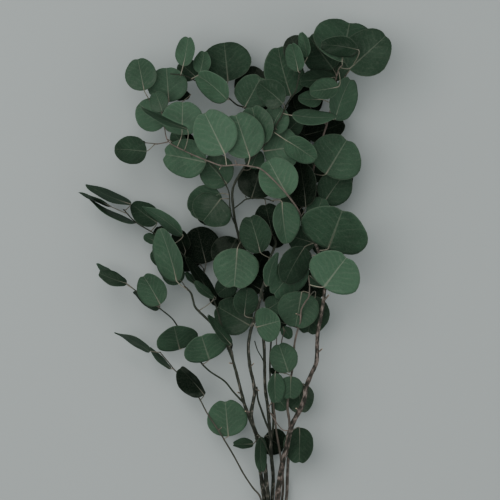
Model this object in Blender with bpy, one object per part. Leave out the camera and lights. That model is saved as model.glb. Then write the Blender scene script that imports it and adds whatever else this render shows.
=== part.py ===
"""A loose bunch of cut eucalyptus stems lying on its back, tips along +Y, seen from above.

Routes, leaf bases and leaf tips are in millimetres in the plane of the floor, heights are above the floor.
The whole bunch is shifted at the end so that the frame's origin is under the middle of its box.
"""
import math
import random
from collections import namedtuple

import bmesh
import bpy
from mathutils import Vector

# Sizes that drive the part, in millimetres
BLADE_THICKNESS = 0.7
PETIOLE_THICKNESS = 1.1
PETIOLE_ROOT = 0.6
CLEARANCE = 1.8
LEAF_GAP = 2.6
LOWEST_LEAF = 3.0
BACK_LEAF_COUNT = 24
BACK_LEAF_SIZE = (28.0, 44.0)
BACK_LEAF_SPACING = 26.0
LEAFY_FROM = 190.0
LEAFY_HEIGHT = 20.0
RIM_SPARE = 3.0
TWIG_SPARE = 1.6

# Unevenness of the blades in degrees
ROLL_JITTER = 7
PITCH_JITTER = 6

# Proportions of a blade
OUTLINE_POINTS = 8
CUP_DEPTH = 0.035
FOLD_SOFTNESS = 0.06
NOTCH_DEPTH = 0.06
ROUND_BREADTH = 0.9
ROUND_LENGTH = 0.82

THICK_GIRTH = 2.6
THICK_SIDES = 6
THIN_SIDES = 5
PETIOLE_SIDES = 3
PETIOLE_POINTS = 3
PETIOLE_STARTS = 24
BEND_COST = 6.0
TROUBLE_COST = 25.0
SPREAD_SWEEPS = 300
BACK_LEAF_TRIES = 1500
LAYOUT_SEED = 11
PLAIN_GREEN = (0.045, 0.075, 0.045)
METRES = 0.001

# A leaf: base and tip in plan, breadth seen from above, height of its middle, tone, fold and turn in degrees
Leaf = namedtuple("Leaf", "base tip breadth height tone fold turn", defaults=(8, 0))
Twig = namedtuple("Twig", "node girth route leaves")
Blade = namedtuple("Blade", "node base along across normal length breadth fold tone steady")

DARK = 0.0
DEEP = 0.25
MID = 0.5
LIGHT = 0.75
PALE = 1.0

TWIGS = [
    # the thick brown stem on the right and what it carries behind the foliage
    Twig("stem_main", (7.4, 3.4), [
        (47, -66, 20), (49, -32, 21), (51, 0, 26), (54, 24, 34), (57, 44, 44), (61, 60, 54),
        (65, 80, 62), (69, 93, 66), (77, 108, 70), (82, 120, 72), (85, 136, 73), (91, 152, 74),
        (97, 166, 75), (98, 184, 75), (99, 203, 74), (103, 222, 72), (106, 240, 68), (107, 256, 64),
        (105, 275, 58), (101, 295, 54), (94, 313, 54)], [
        Leaf((78, 87), (77, 43), 37, 38, DEEP),
        Leaf((76, 140), (80, 103), 34, 36, DEEP),
        Leaf((112, 302), (129, 351), 84, 68, MID),
        Leaf((82, 304), (58, 260), 38, 68, DEEP),
        Leaf((82, 290), (44, 245), 40, 56, LIGHT),
    ]),
    # the long pink twig that crosses in front to the upper left
    Twig("stem_main", (2.5, 1.2), [
        (94, 313, 54), (86, 327, 62), (80, 338, 68), (74, 350, 76), (63, 365, 86), (53, 376, 92),
        (42, 387, 95), (31, 396, 97), (20, 399, 98), (3, 401, 98), (-15, 400, 97), (-30, 405, 95),
        (-45, 411, 92), (-60, 418, 88), (-79, 429, 80), (-84, 446, 74), (-87, 463, 70), (-98, 474, 68),
        (-104, 482, 67)], [
        Leaf((63, 364), (39, 408), 47, 78, PALE, 24),
        Leaf((18, 410), (0, 463), 51, 93, LIGHT),
        Leaf((-12, 414), (-37, 465), 52, 101, PALE),
        Leaf((-34, 405), (-86, 415), 47, 78, LIGHT),
        Leaf((-63, 437), (-62, 478), 50, 86, LIGHT),
        Leaf((-57, 441), (-112, 466), 10, 106, DEEP),
        Leaf((-62, 424), (-74, 442), 18, 66, MID),
        Leaf((-54, 420), (-57, 440), 15, 58, DARK),
        Leaf((-84, 449), (-115, 475), 41, 66, MID),
        Leaf((-86, 465), (-95, 489), 22, 76, MID),
        Leaf((-79, 477), (-82, 519), 48, 64, MID),
        Leaf((-108, 490), (-116, 529), 38, 74, MID),
        Leaf((-54, 487), (-71, 482), 11, 54, DARK),
        Leaf((80, 351), (63, 334), 22, 42, DARK),
        Leaf((96, 308), (64, 318), 34, 34, DARK),
    ]),
    Twig("stem_main", (1.5, 1.4), [(-79, 429, 80), (-88, 427, 76), (-96, 426, 72)], [
        Leaf((-105, 418), (-144, 421), 33, 70, DEEP),
        Leaf((-107, 429), (-138, 429), 10, 62, DARK),
    ]),
    # the hidden twig that carries the upper right
    Twig("stem_main", (3.2, 1.5), [
        (94, 313, 54), (92, 335, 48), (90, 352, 44), (90, 375, 40), (95, 400, 38), (102, 425, 42),
        (110, 450, 46), (117, 480, 54), (121, 505, 66), (124, 516, 76), (128, 520, 80)], [
        Leaf((86, 352), (78, 407), 34, 48, DARK, 8, -40),
        Leaf((97, 378), (99, 345), 25, 24, DARK),
        Leaf((106, 357), (134, 396), 42, 44, DEEP),
        Leaf((109, 391), (135, 434), 64, 64, MID),
        Leaf((84, 437), (133, 453), 33, 30, DARK),
        Leaf((118, 456), (137, 507), 32, 76, LIGHT, 20),
        Leaf((104, 480), (75, 481), 20, 52, DEEP, 8, 35),
        Leaf((123, 493), (88, 488), 28, 84, MID),
        Leaf((120, 506), (76, 501), 24, 62, DARK, 8, 35),
        Leaf((94, 462), (81, 500), 36, 36, DARK),
        Leaf((118, 517), (88, 557), 46, 46, DEEP),
        Leaf((127, 522), (138, 575), 82, 62, MID),
        Leaf((146, 539), (101, 545), 25, 98, DARK),
    ]),
    Twig("stem_main", (1.5, 1.4), [(117, 480, 54), (126, 494, 58), (132, 508, 66)], [
        Leaf((136, 515), (181, 556), 56, 82, DEEP),
    ]),
    Twig("stem_main", (1.8, 1.4), [(105, 275, 58), (104, 279, 30), (102, 280, 3)], [
        Leaf((98, 274), (83, 238), 40, 0, DARK),
    ]),
    # a thin bare twig low on the thick stem
    Twig("stem_main", (1.6, 1.2), [
        (66, 84, 63), (57, 85, 60), (50, 93, 58), (44, 102, 56), (40, 109, 55)], []),
    # the stem behind, up to the top of the bunch
    Twig("stem_back", (4.6, 1.6), [
        (43, -62, 11.3), (44, -30, 10), (45, 0, 12), (46, 25, 16), (44, 50, 24), (42, 80, 32),
        (39.5, 110, 38), (36.5, 132, 42), (35.5, 160, 44), (34.5, 190, 44), (30, 215, 42),
        (22, 240, 40), (14, 270, 40), (8, 300, 44), (4, 318, 50), (0, 335, 56), (-2, 350, 60),
        (-3, 370, 64), (2, 384, 70), (12, 400, 78), (22, 411, 84), (33, 423, 86), (42, 434, 87),
        (50, 450, 88), (56, 460, 87), (60, 470, 84), (66, 480, 82), (72, 488, 84), (75, 500, 86),
        (77, 511, 88), (81, 522, 88)], [
        Leaf((36, 76), (60, 60), 34, 16, DARK),
        Leaf((2, 314), (-18, 278), 44, 26, DARK),
        Leaf((0, 264), (-22, 246), 26, 28, DARK),
        Leaf((3, 302), (-1, 253), 55, 70, LIGHT),
        Leaf((19, 398), (29, 420), 24, 52, MID),
        Leaf((32, 425), (20, 472), 42, 72, MID),
        Leaf((40, 440), (57, 470), 34, 76, LIGHT),
        Leaf((34, 418), (78, 424), 54, 70, LIGHT),
        Leaf((61, 431), (97, 407), 27, 96, MID),
        Leaf((60, 440), (79, 457), 24, 60, DARK),
        Leaf((68, 458), (122, 456), 22, 94, MID),
        Leaf((58, 474), (28, 499), 30, 80, DEEP),
        Leaf((66, 484), (50, 544), 48, 56, DEEP, 8, 25),
        Leaf((76, 512), (67, 546), 22, 98, LIGHT),
        Leaf((87, 529), (80, 560), 16, 88, LIGHT, 25),
        Leaf((80, 527), (66, 555), 34, 70, DARK),
    ]),
    Twig("stem_back", (1.8, 1.4), [
        (9, 294, 43), (9, 306, 50), (4, 322, 57), (-3, 338, 60), (-6, 352, 62), (-7, 368, 66),
        (-14, 384, 68), (-22, 397, 72), (-28, 402, 76)], [
        Leaf((-9, 379), (-37, 410), 42, 56, DEEP),
        Leaf((-17, 361), (-40, 331), 50, 72, DEEP),
        Leaf((-18, 368), (-55, 345), 42, 50, MID),
    ]),
    Twig("stem_back", (1.8, 1.4), [
        (-2, 349, 60), (7, 356, 56), (14, 361, 54), (26, 362, 54), (38, 361, 60), (46, 358, 66)], [
        Leaf((20, 362), (33, 406), 46, 40, DARK),
        Leaf((55, 357), (61, 307), 30, 88, LIGHT, 22),
    ]),
    Twig("stem_back", (2.2, 1.4), [
        (33, 423, 86), (30, 440, 62), (22, 458, 54), (12, 470, 52), (2, 474, 54), (-10, 484, 56),
        (-25, 493, 56), (-46, 502, 60), (-60, 508, 70), (-77, 510, 74)], [
        Leaf((12, 471), (32, 508), 44, 64, MID),
        Leaf((10, 482), (28, 520), 36, 34, DARK),
        Leaf((-8, 501), (-13, 549), 62, 54, DEEP),
        Leaf((-8, 480), (-45, 511), 27, 82, LIGHT),
        Leaf((-41, 511), (-36, 538), 20, 70, LIGHT),
        Leaf((-46, 507), (-67, 525), 27, 48, DARK),
        Leaf((-61, 519), (-55, 555), 25, 76, LIGHT),
    ]),
    Twig("stem_back", (1.8, 1.4), [(12, 470, 52), (16, 468, 26), (21, 464, 3)], [
        Leaf((27, 468), (48, 499), 42, 0, DARK),
    ]),
    # bare side twigs low on the stem behind
    Twig("stem_back", (2.8, 2.2), [
        (41, 84, 33), (37, 93, 36), (32, 107, 40), (27.5, 121, 43), (26, 136, 46)], []),
    Twig("stem_back", (3.0, 2.2), [
        (43, 66, 28), (46, 90, 30), (45, 110, 34), (43, 135, 36), (42, 160, 36), (43, 185, 36),
        (45, 200, 38)], []),
    Twig("stem_back", (1.6, 1.2), [(35.4, 164, 44), (31.5, 172, 46), (27, 180, 47), (23.5, 191, 47)], []),
    Twig("stem_back", (1.8, 1.4), [
        (46, 29, 17), (45.5, 42, 34), (42, 53, 50), (38, 63, 60), (33, 73, 66), (27, 81, 67)], []),
    # the stem through the middle
    Twig("stem_centre", (5.6, 2.6), [
        (42.3, -60, 16.5), (40, -30, 17), (40, 0, 20), (38, 18, 23), (36, 36, 28), (34, 52, 34),
        (30, 66, 42), (25, 80, 48), (21, 93, 53), (19.5, 106, 57), (22, 120, 60), (23.5, 131, 61),
        (21.5, 145, 61), (18, 160, 62), (16, 182, 62), (18, 200, 62), (21, 211, 64), (26, 226, 66),
        (30, 240, 68), (32, 252, 70), (36, 264, 72), (40, 276, 74), (41, 288, 75), (46, 300, 73),
        (49, 308, 71), (46, 316, 68)], [
        Leaf((18, 209), (-23, 233), 46, 34, DEEP),
        Leaf((11, 222), (15, 256), 30, 52, DEEP),
        Leaf((26, 208), (54, 216), 42, 82, LIGHT),
        Leaf((22, 262), (36, 302), 28, 34, DARK),
        Leaf((35, 238), (62, 253), 30, 38, DARK),
        Leaf((45, 303), (54, 332), 24, 44, DARK),
        Leaf((37, 258), (49, 298), 15, 88, LIGHT),
        Leaf((31, 297), (18, 342), 37, 74, DEEP),
        Leaf((45, 318), (36, 356), 36, 54, DARK),
        Leaf((30, 77), (31, 33), 15, 58, DEEP, 10, -38),
    ]),
    # the stem on the right with the brightest leaf
    Twig("stem_right", (4.2, 1.4), [
        (51.6, -64, 15.7), (56, -30, 12), (62, 0, 14), (63, 25, 18), (64, 45, 24), (66, 62, 30),
        (66, 80, 36), (65, 97, 42), (63, 110, 46), (64, 126, 48), (67, 146, 50), (70, 166, 52),
        (71, 185, 56), (74, 201, 60), (78, 214, 64), (79, 228, 68), (84, 238, 72), (88, 244, 74),
        (89, 256, 76), (88, 267, 76)], [
        Leaf((106, 256), (135, 295), 65, 90, PALE),
        Leaf((90, 269), (103, 257), 16, 56, DEEP),
        Leaf((64, 154), (52, 189), 34, 68, MID),
        Leaf((80, 250), (72, 206), 50, 56, MID),
        Leaf((96, 245), (87, 198), 40, 42, DEEP),
    ]),
    # the small leafy stem among the bare ones
    Twig("stem_small", (3.4, 1.2), [
        (51, -58, 6), (53.6, -30, 8.5), (57, 0, 8), (58, 20, 12), (55, 50, 22), (50, 80, 32),
        (48, 100, 38), (46, 118, 44), (47, 140, 50), (51, 158, 54), (55, 176, 58), (56, 192, 60),
        (60, 205, 60)], [
        Leaf((50, 124), (62, 108), 22, 34, DARK),
        Leaf((47, 153), (48, 117), 20, 68, LIGHT, 20),
        Leaf((67, 149), (66, 121), 29, 66, MID),
        Leaf((52, 150), (41, 158), 8, 56, DARK),
        Leaf((58, 208), (67, 194), 14, 48, MID),
    ]),
    Twig("stem_small", (1.5, 1.2), [(54, 173, 57), (50, 184, 58), (50, 200, 58)], []),
    # the stem on the left with its three sprays
    Twig("stem_left", (5.6, 2.2), [
        (38.1, -62, 13.4), (36, -30, 11), (35, 0, 14), (33, 15, 18), (31, 30, 22), (29, 46, 28),
        (28, 60, 34), (26, 76, 40), (21, 90, 46), (16, 103, 50), (11, 116, 52), (8, 128, 54),
        (5, 140, 55), (2, 152, 56), (-2, 166, 57), (-5, 180, 58), (-12, 194, 59), (-22, 206, 60),
        (-36, 220, 60), (-47, 231, 60), (-50, 240, 60), (-53, 249, 60), (-60, 256, 60)], [
        Leaf((22, 67), (-3, 67), 12, 48, DEEP, 8, 50),
        Leaf((-4, 178), (-13, 201), 10, 42, DARK),
        Leaf((-5, 186), (-34, 223), 11, 68, DEEP, 8, 50),
        Leaf((-64, 262), (-86, 282), 27, 46, MID),
        Leaf((-68, 263), (-88, 327), 34, 64, LIGHT, 16),
    ]),
    Twig("stem_left", (2.4, 1.4), [
        (11, 116, 52), (-2, 130, 48), (-13, 143, 44), (-30, 154, 40), (-42, 166, 36), (-55, 185, 32),
        (-69, 208, 34), (-76, 218, 38), (-88, 228, 42), (-103, 240, 44), (-123, 254, 44)], [
        Leaf((-31, 169), (-41, 201), 54, 55, MID),
        Leaf((-67, 182), (-73, 209), 51, 44, MID),
        Leaf((-89, 235), (-110, 271), 34, 56, MID),
        Leaf((-90, 231), (-122, 251), 17, 38, DEEP),
        Leaf((-130, 259), (-164, 272), 17, 48, DEEP),
        Leaf((-146, 270), (-167, 284), 9, 36, MID),
    ]),
    Twig("stem_left", (2.4, 1.4), [
        (-2, 166, 57), (-9, 184, 50), (-16, 208, 44), (-24, 236, 40), (-35, 257, 38), (-50, 279, 38),
        (-63, 295, 38), (-80, 309, 38), (-97, 320, 40), (-120, 334, 42), (-134, 349, 44)], [
        Leaf((-26, 242), (-49, 262), 11, 66, DEEP, 8, 40),
        Leaf((-24, 241), (-60, 291), 14, 54, DARK, 8, 55),
        Leaf((-35, 284), (-46, 328), 46, 20, DARK),
        Leaf((-47, 259), (-60, 273), 8, 46, MID),
        Leaf((-75, 285), (-101, 299), 26, 34, DEEP),
        Leaf((-59, 299), (-70, 325), 22, 36, DARK),
        Leaf((-86, 306), (-92, 329), 18, 28, DARK),
        Leaf((-95, 310), (-110, 317), 12, 34, MID),
        Leaf((-61, 320), (-110, 354), 18, 60, PALE),
        Leaf((-94, 332), (-125, 355), 27, 36, DARK),
        Leaf((-125, 353), (-180, 377), 14, 50, DARK),
        Leaf((-148, 353), (-188, 370), 6, 44, DARK),
        Leaf((-121, 330), (-176, 358), 8, 40, DEEP),
    ]),
    Twig("stem_left", (1.8, 1.4), [(-35, 257, 38), (-37, 266, 20), (-38, 277, 3)], [
        Leaf((-43, 283), (-71, 303), 40, 0, DARK),
    ]),
    Twig("stem_left", (1.8, 1.4), [(36, -12, 12.1), (38.5, 8, 11), (39, 25, 13), (38, 42, 16)], []),
    # the thin twig at the lower left
    Twig("twig_low", (2.4, 1.4), [
        (34.7, -56, 16), (32, -30, 19), (31, 0, 23), (21, 14, 26), (10, 31, 32), (0, 50, 38),
        (-11, 69, 44), (-20, 84, 48), (-30, 99, 48), (-35, 107, 46), (-43, 122, 40), (-56, 140, 34),
        (-72, 155, 34), (-80, 165, 36), (-90, 177, 38)], [
        Leaf((-8, 76), (-12, 121), 49, 40, LIGHT),
        Leaf((-36, 127), (-66, 160), 24, 48, DARK, 35),
        Leaf((-78, 156), (-104, 182), 8, 36, MID),
        Leaf((-101, 180), (-144, 203), 12, 40, DEEP),
    ]),
    # short side twigs behind, each with a dark leaf that closes a gap between the leaves in front
    Twig("stem_centre", (1.6, 1.3), [(30, 240, 68), (33, 244, 56), (35, 248, 46)], [
        Leaf((32, 252), (12, 264), 26, 42, DARK),
    ]),
    Twig("stem_centre", (1.6, 1.3), [(26, 226, 66), (31, 225, 56), (34, 226, 50)], [
        Leaf((38, 228), (56, 240), 24, 46, DARK),
    ]),
    Twig("stem_right", (1.6, 1.3), [(76, 207, 62), (71, 208, 50), (67, 210, 40)], [
        Leaf((62, 211), (42, 217), 24, 36, DARK),
    ]),
    Twig("stem_left", (1.6, 1.3), [(-24, 236, 40), (-27, 243, 32), (-28, 248, 26)], [
        Leaf((-26, 252), (-10, 234), 26, 22, DARK),
    ]),
    Twig("stem_main", (1.6, 1.3), [(110, 450, 46), (104, 456, 38), (98, 462, 32)], [
        Leaf((92, 466), (62, 474), 28, 28, DARK),
    ]),
    Twig("stem_main", (1.6, 1.3), [(102, 425, 42), (99, 428, 34), (97, 431, 30)], [
        Leaf((92, 433), (70, 448), 28, 26, DARK),
    ]),
]


def unit(vector):
    return vector / vector.length


def nearest_height(point, threads):
    """Height of the twig point that is nearest in plan."""
    spots = [spot for group in threads for spot, _ in group]
    near = min(spots, key=lambda spot: math.hypot(spot.x - point.x, spot.y - point.y))
    return near.z


def lay_blade(node, leaf, draw, threads):
    """Place one blade in space from its base, its tip and the breadth seen from above."""
    steady = leaf.height == 0
    base = Vector((leaf.base[0], leaf.base[1], 0.0))
    tip = Vector((leaf.tip[0], leaf.tip[1], 0.0))
    seen = (tip - base).length
    ahead = unit(tip - base)
    aside = Vector((-ahead.y, ahead.x, 0.0))
    breadth = max(leaf.breadth, ROUND_BREADTH * seen)
    length = max(seen, ROUND_LENGTH * leaf.breadth)
    share = leaf.breadth / breadth
    fold = leaf.fold * share
    roll = draw.choice((-1, 1)) * math.acos(share)
    roll += math.radians(draw.uniform(-ROLL_JITTER, ROLL_JITTER)) * share
    pitch = math.acos(seen / length)
    if nearest_height(base, threads) > leaf.height:
        pitch = -pitch
    pitch += math.radians(draw.uniform(-PITCH_JITTER, PITCH_JITTER))
    if leaf.turn:
        roll = math.radians(leaf.turn)
        breadth = leaf.breadth / math.cos(roll)
        fold = leaf.fold
    if steady:
        roll = 0.0
        pitch = 0.0
        fold = 0.0
    up = Vector((0.0, 0.0, 1.0))
    along = ahead * math.cos(pitch) + up * math.sin(pitch)
    across = aside * math.cos(roll) + up * math.sin(roll)
    across = unit(across - along * across.dot(along))
    normal = along.cross(across)
    middle = (base + tip) / 2.0
    middle.z = leaf.height
    start = middle - along * (length / 2.0)
    return Blade(node, start, along, across, normal, length, breadth, math.radians(fold), leaf.tone, steady)


def outline(blade, count):
    """Points round a blade in its own plane: how far along it, how far across it."""
    points = []
    for step in range(count):
        angle = 2.0 * math.pi * step / count
        along = 0.5 - 0.5 * math.cos(angle)
        across = 0.5 * math.sin(angle) * (1.0 + 0.10 * math.cos(angle))
        along -= NOTCH_DEPTH * math.exp(-((angle - math.pi) / 0.25) ** 2)
        points.append((along * blade.length, across * blade.breadth))
    return points


def surface(blade, along, across):
    """A point of the blade's middle surface, softly folded along the midrib and slightly cupped."""
    side = abs(across) / (0.5 * blade.breadth)
    far = 2.0 * along / blade.length - 1.0
    soft = FOLD_SOFTNESS * blade.breadth
    lift = (math.hypot(across, soft) - soft) * math.tan(blade.fold)
    lift += 0.0 if blade.steady else CUP_DEPTH * blade.length * (far * far - 0.3 * side * side)
    return blade.base + blade.along * along + blade.across * across + blade.normal * lift


def height_at(blade, x, y):
    """Height of the blade over a point of the floor, or None where the blade is not over it."""
    right = x - blade.base.x
    ahead = y - blade.base.y
    spread = blade.along.x * blade.across.y - blade.along.y * blade.across.x
    along = (right * blade.across.y - ahead * blade.across.x) / spread
    across = (blade.along.x * ahead - blade.along.y * right) / spread
    far = (2.0 * along - blade.length) / (blade.length + RIM_SPARE)
    if math.hypot(far, 2.0 * across / (blade.breadth + RIM_SPARE)) > 1.0:
        return None
    return surface(blade, along, across).z


def fill_points(blade):
    """Points spread over the blade, as plan positions: the middle first, the rim last."""
    middle = blade.length / 2.0
    found = [surface(blade, middle, 0.0)]
    for ring, count in ((0.25, 8), (0.5, 12), (0.75, 16), (1.0, 20)):
        for along, across in outline(blade, count):
            found.append(surface(blade, middle + (along - middle) * ring, across * ring))
    return [(place.x, place.y) for place in found]


def thread(twig, spacing=2.5):
    """Points along a twig, each with its radius there."""
    route = [Vector(point) for point in twig.route]
    spans = [(b - a).length for a, b in zip(route, route[1:])]
    total = sum(spans)
    done = 0.0
    points = []
    for start, end, span in zip(route, route[1:], spans):
        steps = max(1, round(span / spacing))
        for step in range(steps):
            part = step / steps
            girth = twig.girth[0] + (twig.girth[1] - twig.girth[0]) * (done + span * part) / total
            points.append((start.lerp(end, part), girth / 2.0))
        done += span
    points.append((route[-1], twig.girth[1] / 2.0))
    return points


def apart(one, other):
    """Whether two blades are too far apart in plan to lie over each other."""
    reach = one.length + one.breadth + other.length + other.breadth
    return math.hypot(one.base.x - other.base.x, one.base.y - other.base.y) > 0.75 * reach


def blade_limits(blades):
    """For each pair of blades that overlap in plan: the lower, the higher and the least gap."""
    middles = [surface(blade, blade.length / 2.0, 0.0).z for blade in blades]
    order = sorted(range(len(blades)), key=lambda index: (not blades[index].steady, middles[index]))
    spots = [fill_points(blade) for blade in blades]
    limits = []
    for rank, low in enumerate(order):
        for high in order[rank + 1:]:
            if apart(blades[low], blades[high]):
                continue
            gaps = []
            for x, y in spots[low] + spots[high]:
                under = height_at(blades[low], x, y)
                over = height_at(blades[high], x, y)
                if under is not None and over is not None:
                    gaps.append(over - under)
            if gaps:
                limits.append((low, high, min(gaps)))
    return limits


def twig_limits(blade, threads):
    """How far the blade may sink or rise before it meets the floor or a twig."""
    floor = LOWEST_LEAF - min(surface(blade, along, across).z for along, across in outline(blade, 16))
    roof = 1000.0
    for points in threads:
        crossing = []
        for place, radius in points:
            over = height_at(blade, place.x, place.y)
            if over is not None:
                crossing.append((over - place.z, radius + CLEARANCE))
        if not crossing:
            continue
        if sum(gap for gap, _ in crossing) >= 0.0:
            floor = max(floor, max(spare - gap for gap, spare in crossing))
        else:
            roof = min(roof, min(-spare - gap for gap, spare in crossing))
    return floor, roof


def spread_heights(blades, threads):
    """Move blades up or down until every one passes clear of the blades and twigs over and under it."""
    limits = blade_limits(blades)
    bounds = [(0.0, 0.0) if blade.steady else twig_limits(blade, threads) for blade in blades]
    rise = [0.0] * len(blades)
    for sweep in range(SPREAD_SWEEPS):
        moved = 0.0
        for low, high, gap in limits:
            short = LEAF_GAP - (gap + rise[high] - rise[low])
            if short <= 0.001:
                continue
            moved = max(moved, short)
            share = 0.0 if blades[low].steady else 0.5
            rise[high] += short * (1.0 - share)
            rise[low] -= short * share
        for index, (floor, roof) in enumerate(bounds):
            wanted = max(min(rise[index], roof), floor)
            moved = max(moved, abs(wanted - rise[index]))
            rise[index] = wanted
        if moved < 0.02:
            break
    return [blade._replace(base=blade.base + Vector((0.0, 0.0, up))) for blade, up in zip(blades, rise)]


def curve_to(start, knee, end, count=PETIOLE_POINTS):
    """Points of a curve from the twig to the leaf base by way of a knee."""
    points = []
    for step in range(count):
        part = step / (count - 1)
        points.append(start * (1 - part) ** 2 + knee * (2 * part * (1 - part)) + end * part ** 2)
    return points


def path_trouble(points, near_blades, near_spots, taken):
    """How badly a petiole would cut into blades, twigs and other petioles."""
    trouble = 0.0
    for first, second in zip(points, points[1:]):
        for part in (0.25, 0.5, 0.75, 1.0):
            place = first.lerp(second, part)
            trouble += max(0.0, 0.3 - place.z)
            for blade in near_blades:
                over = height_at(blade, place.x, place.y)
                if over is not None:
                    trouble += max(0.0, CLEARANCE - abs(over - place.z))
            for spot, radius in near_spots:
                trouble += max(0.0, TWIG_SPARE + radius - (spot - place).length)
    for spot in taken:
        for place in points:
            trouble += max(0.0, CLEARANCE - (spot - place).length)
    return trouble


def route_petiole(own, blades, threads, nodes, taken):
    """The shortest clear way from a twig of the same stem to the blade's base: start, knee and end."""
    blade = blades[own]
    root = surface(blade, 0.025 * blade.length, 0.0)
    heading = unit(Vector((blade.along.x, blade.along.y, blade.along.z * 0.5)))
    near_blades = [other for index, other in enumerate(blades) if index != own and not apart(blade, other)]
    options = []
    for number, (group, node) in enumerate(zip(threads, nodes)):
        if node == blade.node:
            options += [((place - root).length, number, place) for place, _ in group[::2]]
    options.sort(key=lambda option: option[0])
    best = None
    for distance, number, place in options[:PETIOLE_STARTS]:
        others = [group for index, group in enumerate(threads) if index != number]
        spots = [(spot, radius) for group in others for spot, radius in group
                 if (spot - root).length < distance + 12.0]
        near_taken = [spot for spot in taken if (spot - root).length < distance + 12.0]
        for reach in (0.45, 0.2, 0.7):
            for lift in (0.0, -6.0, 6.0, 12.0, -12.0):
                knee = root - heading * (distance * reach) + Vector((0.0, 0.0, lift))
                points = curve_to(place, knee, root)
                score = distance + abs(lift) * 0.6 + reach * 3.0
                score += BEND_COST * (1.0 - unit(root - place).dot(heading))
                score += path_trouble(points, near_blades, spots, near_taken) * TROUBLE_COST
                if best is None or score < best[0]:
                    best = (score, place, knee)
        if best[0] < distance + 8.0:
            break
    return best[1], best[2], root


def hidden_leaves(blades, threads, nodes, draw):
    """More leaves at the back, where the leaves in front hide them from above."""
    added = []
    for attempt in range(BACK_LEAF_TRIES):
        number = draw.randrange(len(threads))
        place, radius = threads[number][draw.randrange(len(threads[number]))]
        heading = draw.uniform(0.0, 2.0 * math.pi)
        size = draw.uniform(*BACK_LEAF_SIZE)
        off = draw.uniform(8.0, 16.0)
        drop = draw.uniform(8.0, 26.0)
        shape = draw.uniform(0.75, 1.1)
        tone = draw.choice((DARK, DEEP, MID))
        height = max(5.0, place.z - drop)
        if place.y < LEAFY_FROM or place.z < LEAFY_HEIGHT:
            continue
        base = (place.x + off * math.cos(heading), place.y + off * math.sin(heading))
        tip = (base[0] + size * math.cos(heading), base[1] + size * math.sin(heading))
        blade = lay_blade(nodes[number], Leaf(base, tip, size * shape, height, tone), draw, threads)
        spots = fill_points(blade)
        over = [other for other in blades if other.base.z > height and not apart(blade, other)]
        if not all(any(height_at(other, x, y) is not None for other in over) for x, y in spots[-20:]):
            continue
        if any(math.dist(fill_points(other)[0], spots[0]) < BACK_LEAF_SPACING for other in added):
            continue
        added.append(blade)
        if len(added) == BACK_LEAF_COUNT:
            break
    return added


def layout():
    """Every blade and the bend of its petiole, clear of one another and of the twigs."""
    draw = random.Random(LAYOUT_SEED)
    threads = [thread(twig) for twig in TWIGS]
    nodes = [twig.node for twig in TWIGS]
    blades = [lay_blade(twig.node, leaf, draw, threads) for twig in TWIGS for leaf in twig.leaves]
    blades += hidden_leaves(blades, threads, nodes, draw)
    blades = spread_heights(blades, threads)
    bends = []
    taken = []
    for own in range(len(blades)):
        bend = route_petiole(own, blades, threads, nodes, taken)
        bends.append(bend)
        taken += curve_to(*bend)
    return blades, bends


def tube(points, radii, sides):
    """A closed tube along the points."""
    shape = bmesh.new()
    rings = []
    guide = Vector((0.3, -0.2, 1.0))
    for index, place in enumerate(points):
        before = points[max(index - 1, 0)]
        after = points[min(index + 1, len(points) - 1)]
        run = unit(after - before)
        side = unit(guide - run * guide.dot(run))
        guide = side
        over = run.cross(side)
        ring = []
        for step in range(sides):
            angle = 2.0 * math.pi * step / sides
            spot = place + (side * math.cos(angle) + over * math.sin(angle)) * radii[index]
            ring.append(shape.verts.new(spot * METRES))
        rings.append(ring)
    for lower, upper in zip(rings, rings[1:]):
        for step in range(sides):
            following = (step + 1) % sides
            shape.faces.new((lower[step], lower[following], upper[following], upper[step]))
    shape.faces.new(list(reversed(rings[0])))
    shape.faces.new(rings[-1])
    return shape


def blade_shape(blade):
    """A closed thin blade, split into the same triangles above and below."""
    shape = bmesh.new()
    half = blade.normal * (BLADE_THICKNESS / 2.0)
    middle = surface(blade, blade.length / 2.0, 0.0)
    rim = [surface(blade, along, across) for along, across in outline(blade, OUTLINE_POINTS)]
    top = [shape.verts.new((place + half) * METRES) for place in rim]
    bottom = [shape.verts.new((place - half) * METRES) for place in rim]
    top_middle = shape.verts.new((middle + half) * METRES)
    bottom_middle = shape.verts.new((middle - half) * METRES)
    for step in range(OUTLINE_POINTS):
        following = (step + 1) % OUTLINE_POINTS
        shape.faces.new((top_middle, top[step], top[following]))
        shape.faces.new((bottom_middle, bottom[following], bottom[step]))
        shape.faces.new((top[step], bottom[step], bottom[following]))
        shape.faces.new((top[step], bottom[following], top[following]))
    return shape


def as_object(shape, name, collection):
    bmesh.ops.recalc_face_normals(shape, faces=shape.faces)
    bmesh.ops.triangulate(shape, faces=shape.faces)
    mesh = bpy.data.meshes.new(name)
    shape.to_mesh(mesh)
    shape.free()
    item = bpy.data.objects.new(name, mesh)
    collection.objects.link(item)
    return item


def plain_material(name, colour, roughness):
    material = bpy.data.materials.new(name)
    material.use_nodes = True
    shader = material.node_tree.nodes["Principled BSDF"]
    shader.inputs["Base Color"].default_value = (*colour, 1.0)
    shader.inputs["Roughness"].default_value = roughness
    return material


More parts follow.
